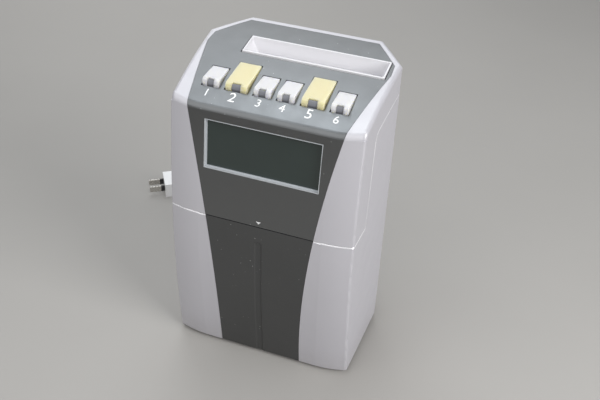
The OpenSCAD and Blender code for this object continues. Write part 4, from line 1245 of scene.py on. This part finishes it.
@dataclass
class Keys(Assembly):
    """Six sprung keys and the lamp windows in their notches."""

    rounding: float = 0.35
    lamp_rounding: float = 0.1
    tilt: float = 13.85  # degrees
    # Painted shade: key faces deeper than root under the top take the black finish, where the gap round
    # the key lies in shade.
    root: float = 7.9  # depth under the top where the dark root begins
    sink: float = 0.6  # how far the back of the top falls
    crest: float = 0.9  # depth under the top of the corners that fall
    stem: float = 4.0  # depth under the top of the sides that are set in
    corner: float = 1.2  # width of these sides' corners
    play: float = 0.35  # how far these sides are set in
    # Lamp faces that lean this close to the keys' up direction take the darker finish as painted shade.
    facing: float = 0.9  # cosine

    @property
    def up(self) -> Vector:
        """Direction square to the keys' tops."""
        return Vector((0, -math.sin(math.radians(self.tilt)), math.cos(math.radians(self.tilt))))

    @property
    def back(self) -> Vector:
        """Direction from the keys' fronts to their backs."""
        return Vector((0, math.cos(math.radians(self.tilt)), math.sin(math.radians(self.tilt))))

    def recline(self, bm: Draft) -> None:
        """Lets a key's top fall further towards its back, and sets its left and back sides in.

        Args:
            bm: merged copy of the key.
        """
        up, back = self.up, self.back
        far = max(back.dot(v.co) for v in bm.verts)
        near = min(back.dot(v.co) for v in bm.verts)
        behind = [v for v in bm.verts if back.dot(v.co) > (near + far) / 2]
        top = max(up.dot(v.co) for v in behind)
        for v in behind:
            if up.dot(v.co) > top - self.crest * MM:
                v.co -= up * self.sink * MM
        stem = [v for v in bm.verts if up.dot(v.co) > top - self.stem * MM]
        left = min(v.co.x for v in stem)
        end = max(back.dot(v.co) for v in stem)
        for v in stem:
            if v.co.x < left + self.corner * MM:
                v.co.x += self.play * MM
            if back.dot(v.co) > end - self.corner * MM:
                v.co -= back * self.play * MM

    def make_key(self, i: int) -> Piece:
        """Makes one key, its part below the panel given a dark finish as painted shade.

        Args:
            i: number of the key.

        Returns:
            The key.
        """
        slot = Slot.KEY_YELLOW if i in YELLOW_KEYS else Slot.KEY_WHITE
        key = self.softened(f"key_{i}", f"key_cap_{i}", slot, self.rounding, body=f"key{i}", angle=25,
                            shape=self.recline)
        up = self.up
        edge = max(up.dot(v.co) for v in key.data.vertices) - self.root * MM
        # Painted shade on the key's part below the panel.
        repaint(key, self.finishes.get(Slot.TIE), lambda face: up.dot(face.center) < edge)
        return key

    def make_lamps(self) -> Piece:
        """Makes the lamp windows, their top faces given a darker finish as painted shade.

        Returns:
            The lamp windows.
        """
        lamps = self.softened("lamp_windows", "lamp_lenses", Slot.LAMP, self.lamp_rounding,
                              body=Body.COVER.value, angle=30, steps=2)
        up = self.up
        # Painted shade on the lamp windows' top faces.
        repaint(lamps, self.finishes.get(Extra.LID), lambda face: face.normal.dot(up) > self.facing)
        return lamps

    def build(self) -> list[Piece]:
        """Builds the keys on their own bodies, and the lamp windows.

        Returns:
            The pieces.
        """
        return [*(self.make_key(i) for i in range(1, KEY_COUNT + 1)), self.make_lamps()]


@dataclass
class UpperCover(Assembly):
    """White upper cover whose key-hole walls take the black finish as painted shade."""

    half: float = 57.5  # half the width of the row of key holes
    thick: float = 2.7  # depth of their walls under the top
    steep: float = 0.2  # cosine

    def build(self) -> list[Piece]:
        """Builds the cover.

        Returns:
            The piece.
        """
        rows = [v.co.y for v in frame["nodes"]["key_2"].data.vertices]
        bm = merged("upper_cover")
        for face in bm.faces:
            middle = face.calc_center_median()
            x, y, z = middle / MM
            spoke = Vector((0, y - TOP.y, z - TOP.z))
            deep = TOP.radius - spoke.length
            wall = abs(face.normal.dot(spoke.normalized())) < self.steep
            inside = abs(x) < self.half and min(rows) < middle.y < max(rows)
            # Painted shade: the walls of the key holes under the top take the black finish.
            face.material_index = int(wall and inside and 0 < deep < self.thick)
        cover = self.layered(bm, "cover_shell", Slot.CASING, Slot.TIE)
        declare(cover, Slot.CASING, Body.COVER.value, "upper_cover")
        return [cover]


@dataclass
class LowerCase(Assembly):
    """White lower case with a chamfer along the joint under the cover in a lighter finish as a painted
    highlight, and a rim in the black finish as painted shade.
    """

    low_z: float = 143.5  # the step lies over this height
    far_y: float = 34.0  # and before this depth
    # The rim before this depth takes the black finish as painted shade.
    front_y: float = -45.0  # the dark rim lies before this depth
    step: float = 0.5  # height and width of the step
    slack: float = 0.04  # tolerance of the step's height
    drop: float = 0.45  # how far the step's outer edge falls
    swell: float = 0.06  # how far the chamfer stands out
    close: float = 0.1  # tolerance of the rim's height
    fold: float = 75.0  # degrees
    sideways: float = 0.001  # part of a unit vector
    alike: float = 0.9  # cosine
    same: float = 0.97  # cosine
    level: float = 0.99  # cosine

    @staticmethod
    def mean(normals: list[Vector]) -> Vector:
        """Gives the mean direction of some normals."""
        return sum(normals, Vector()).normalized()

    def strip(self, walls: set[Face], axes: dict[Corner, tuple[Vector, Vector]]
              ) -> dict[Corner, tuple[float, Vector]]:
        """Finds the corners half-way up the small wall of the step.

        Args:
            walls: faces of the wall, which are completed here.
            axes: upward and outward direction of each corner at its foot.

        Returns:
            Height over the foot and outward direction of each corner.
        """
        found: dict[Corner, tuple[float, Vector]] = {}
        queue = [v for f in walls for v in f.verts]
        while queue:
            v = queue.pop()
            if v in found or v in axes:
                continue
            foot = min(axes, key=lambda w: (w.co - v.co).length_squared)
            up, out = axes[foot]
            rise = up.dot(v.co - foot.co) / MM
            around = [f for f in v.link_faces if f.normal.dot(out) > self.alike]
            if not around or not 0.0 < rise < self.step - self.slack:
                continue
            found[v] = rise, self.mean([f.normal for f in around])
            walls.update(around)
            queue += [w for f in around for w in f.verts]
        return found

    def folds(self, bm: Draft) -> list[tuple[bmesh.types.BMEdge, Face, Face]]:
        """Finds the inner edges of the small step under the joint.

        Args:
            bm: merged copy of the case.

        Returns:
            Each edge with its ledge and its wall.
        """
        found = []
        for edge in bm.edges:
            middle = (edge.verts[0].co + edge.verts[1].co) / 2
            if len(edge.link_faces) != 2 or middle.z < self.low_z * MM or middle.y > self.far_y * MM:
                continue
            ledge, wall = sorted(edge.link_faces, key=lambda f: abs(f.normal.x))
            outward = Vector((middle.x, middle.y - self.far_y * MM, 0))
            if (edge.calc_face_angle_signed(0.0) <= -math.radians(self.fold)
                    and abs(ledge.normal.x) <= self.sideways and wall.normal.dot(outward) > 0):
                found.append((edge, ledge, wall))
        return found

    def chamfer(self, bm: Draft) -> None:
        """Turns the small step under the joint into a chamfer, whose faces take a lighter finish as a
        painted highlight.

        Args:
            bm: merged copy of the case.
        """
        inner: dict[Corner, list[tuple[Vector, Vector]]] = {}
        ledges: set[Face] = set()
        walls: set[Face] = set()
        for edge, ledge, wall in self.folds(bm):
            ledges.add(ledge)
            walls.add(wall)
            for v in edge.verts:
                inner.setdefault(v, []).append((ledge.normal.copy(), wall.normal.copy()))
        axes = {v: (self.mean([up for up, _ in pairs]), self.mean([out for _, out in pairs]))
                for v, pairs in inner.items()}
        for v, (up, out) in axes.items():
            ledges |= {f for f in v.link_faces
                       if abs(f.normal.x) < self.sideways and f.normal.dot(up) > self.alike}
            walls |= {f for f in v.link_faces if f.normal.dot(out) > self.same}
        between = self.strip(walls, axes)
        outer: dict[Corner, list[Vector]] = {}
        for face in ledges:
            for v in face.verts:
                if v not in inner:
                    outer.setdefault(v, []).append(face.normal.copy())
        # Painted highlight: the chamfer's faces take the lighter finish.
        for face in ledges | walls:
            face.material_index = 1
        log.info("chamfer: %d inner, %d outer corners", len(inner), len(outer))
        for v, normals in outer.items():
            v.co -= self.mean(normals) * self.drop * MM
        between.update({v: (0.0, out) for v, (_, out) in axes.items()})
        for v, (rise, out) in between.items():
            lean = (rise + self.drop) / (self.step + self.drop)
            v.co += out * (self.step * (1 - lean) + self.swell) * MM

    def seal(self, bm: Draft) -> None:
        """Gives the rim on top of the front wall the black finish as painted shade, where the joint looks
        into the dark.

        Args:
            bm: merged copy of the case.
        """
        top = max(v.co.z for v in frame["nodes"]["lower_panel"].data.vertices)
        for face in bm.faces:
            middle = face.calc_center_median()
            if (face.normal.z > self.level and abs(middle.z - top) < self.close * MM
                    and middle.y < self.front_y * MM):
                # Painted shade on the rim under the joint.
                face.material_index = 2

    def build(self) -> list[Piece]:
        """Builds the lower case.

        Returns:
            The piece.
        """
        bm = merged("main_case")
        self.chamfer(bm)
        self.seal(bm)
        # Second finish: painted highlight on the chamfer; third: painted shade on the rim.
        case = self.layered(bm, "case_shell", Slot.CASING, Extra.EDGE, Slot.TIE)
        declare(case, Slot.CASING, Body.CASE.value, "main_case")
        return [case]


@dataclass
class LowerPanel(Assembly):
    """Grey lower front panel with slanted walls and rounded edges on its groove."""

    rounding: float = 0.35
    half: float = 2.3  # half the width of the groove
    match: float = 0.03  # tolerance of its wall
    top_z: float = 127.4  # height of the middle of its round end
    mouth: float = 3.1  # half its width at the front
    bed: float = 2.2  # half its width at the bottom
    edge_rise: float = 0.45  # cosine
    joint_z: float = 144.3  # the panel's top edge lies over this height
    joint_drop: float = 0.25  # how far that edge falls

    def slant(self, bm: Draft) -> None:
        """Leans the walls of the groove, wider at its mouth, and widens the joint a little.

        Args:
            bm: merged copy of the panel.
        """
        pairs: dict[tuple[float, float], list[Corner]] = {}
        for v in bm.verts:
            if v.co.z > self.joint_z * MM:
                v.co.z -= self.joint_drop * MM
            x, z = v.co.x / MM, v.co.z / MM
            rise = max(0.0, z - self.top_z)
            if abs(math.hypot(x, rise) - self.half) < self.match:
                pairs.setdefault((round(x, 1), round(z, 1)), []).append(v)
        end = self.top_z * MM
        for pair in pairs.values():
            if len(pair) != 2:
                continue
            for v, reach in zip(sorted(pair, key=lambda w: w.co.y), (self.mouth, self.bed)):
                v.co.x *= reach / self.half
                if v.co.z > end:
                    v.co.z = end + (v.co.z - end) * reach / self.half

    def build(self) -> list[Piece]:
        """Builds the lower panel; the top faces of its edge under the joint take the black finish as
        painted shade.

        Returns:
            The piece.
        """
        panel = self.softened("lower_panel", "front_panel", Slot.PANEL, self.rounding, angle=24,
                              shape=self.slant)
        edge = max(v.co.z for v in panel.data.vertices) - self.rounding * MM
        # Painted shade: the panel's top faces under the joint take the black finish.
        repaint(panel, self.finishes.get(Slot.TIE),
                lambda face: face.normal.z > self.edge_rise and face.center.z > edge)
        return [panel]


@dataclass
class CardFunnel(Assembly):
    """White card funnel with a rounded rim, in a lighter white than the casing as painted light."""

    rounding: float = 0.4

    def build(self) -> list[Piece]:
        """Builds the card funnel."""
        return [self.softened("card_funnel", "card_mouth", Slot.CASING, self.rounding, look=Extra.FUNNEL)]


@dataclass
class Marks(Assembly):
    """Plain printed numbers before the keys and a pointer over the joint."""

    key_xs: tuple[float, ...] = (-49.0, -29.0, -9.0, 9.0, 29.0, 49.0)
    row_y: float = -40.6
    small: float = 6.8
    large: float = 8.6
    em: float = 1.4  # font size over the height of a number
    ink_t: float = 0.06  # height of the print over the surface
    weld: float = 1e-6  # metres
    pointer_half: float = 1.9
    pointer_top: float = 149.6
    pointer_tip: float = 147.6

    def number(self, i: int, x: float) -> Piece:
        """Prints a key's number on the slope.

        Args:
            i: the number.
            x: its middle.

        Returns:
            The piece.
        """
        data = bpy.data.curves.new("number", "FONT")
        data.body = str(i)
        data.align_x = "CENTER"
        data.align_y = "CENTER"
        data.size = (self.large if i in YELLOW_KEYS else self.small) * self.em
        data.resolution_u = 6
        data.extrude = self.ink_t
        data.fill_mode = "BOTH"
        font = bpy.data.objects.new("number", data)
        bpy.context.scene.collection.objects.link(font)
        bpy.context.view_layer.update()
        depsgraph = bpy.context.evaluated_depsgraph_get()
        mesh = bpy.data.meshes.new_from_object(font.evaluated_get(depsgraph))
        bpy.data.objects.remove(font)
        for v in mesh.vertices:
            y = self.row_y + v.co.y
            v.co = Vector((x + v.co.x, y, TOP.z + TOP.reach(y - TOP.y) + v.co.z)) * MM
        return self.lay(mesh, f"number_{i}")

    def lay(self, mesh: Mesh, name: str) -> Piece:
        """Merges a raised print and rides it on the cover.

        Args:
            mesh: closed print.
            name: name of the piece.

        Returns:
            The piece.
        """
        bm = bmesh.new()
        bm.from_mesh(mesh)
        bmesh.ops.remove_doubles(bm, verts=bm.verts, dist=self.weld)
        bmesh.ops.recalc_face_normals(bm, faces=bm.faces)
        bm.to_mesh(mesh)
        bm.free()
        piece = add_mesh(name, mesh, self.finishes.get(Extra.INK))
        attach(piece, Body.COVER.value)
        return piece

    def pointer(self) -> Piece:
        """Prints the small pointer over the joint.

        Returns:
            The piece.
        """
        outline = ((-self.pointer_half, self.pointer_top), (0, self.pointer_tip),
                   (self.pointer_half, self.pointer_top))
        corners = []
        for raised in (-self.ink_t, self.ink_t):
            for x, z in outline:
                y = FRONT.y - FRONT.reach(z - FRONT.z) - raised
                corners.append((x * MM, y * MM, z * MM))
        mesh = bpy.data.meshes.new("pointer")
        mesh.from_pydata(corners, [], [(0, 2, 1), (3, 4, 5), (0, 1, 4, 3), (1, 2, 5, 4), (2, 0, 3, 5)])
        return self.lay(mesh, "joint_pointer")

    def build(self) -> list[Piece]:
        """Prints all marks.

        Returns:
            The pieces.
        """
        return [*(self.number(i, x) for i, x in enumerate(self.key_xs, 1)), self.pointer()]


def main() -> None:
    """Builds the clock's looks in order."""
    logging.basicConfig(level=logging.INFO, format="%(message)s")
    studio = Studio()
    studio.camera()
    finishes = Finishes()
    finishes.dress()
    pieces: list[Piece] = []
    for group in (MainsCord(finishes, Repeater()), Keys(finishes), UpperCover(finishes),
                  LowerCase(finishes), LowerPanel(finishes), CardFunnel(finishes), Marks(finishes)):
        made = group.build()
        pieces += made
        log.info("%s: %s", type(group).__name__, ", ".join(p.name for p in made))
    studio.build()
    log.info("%d pieces", len(pieces))


if __name__ == "__main__":
    main()
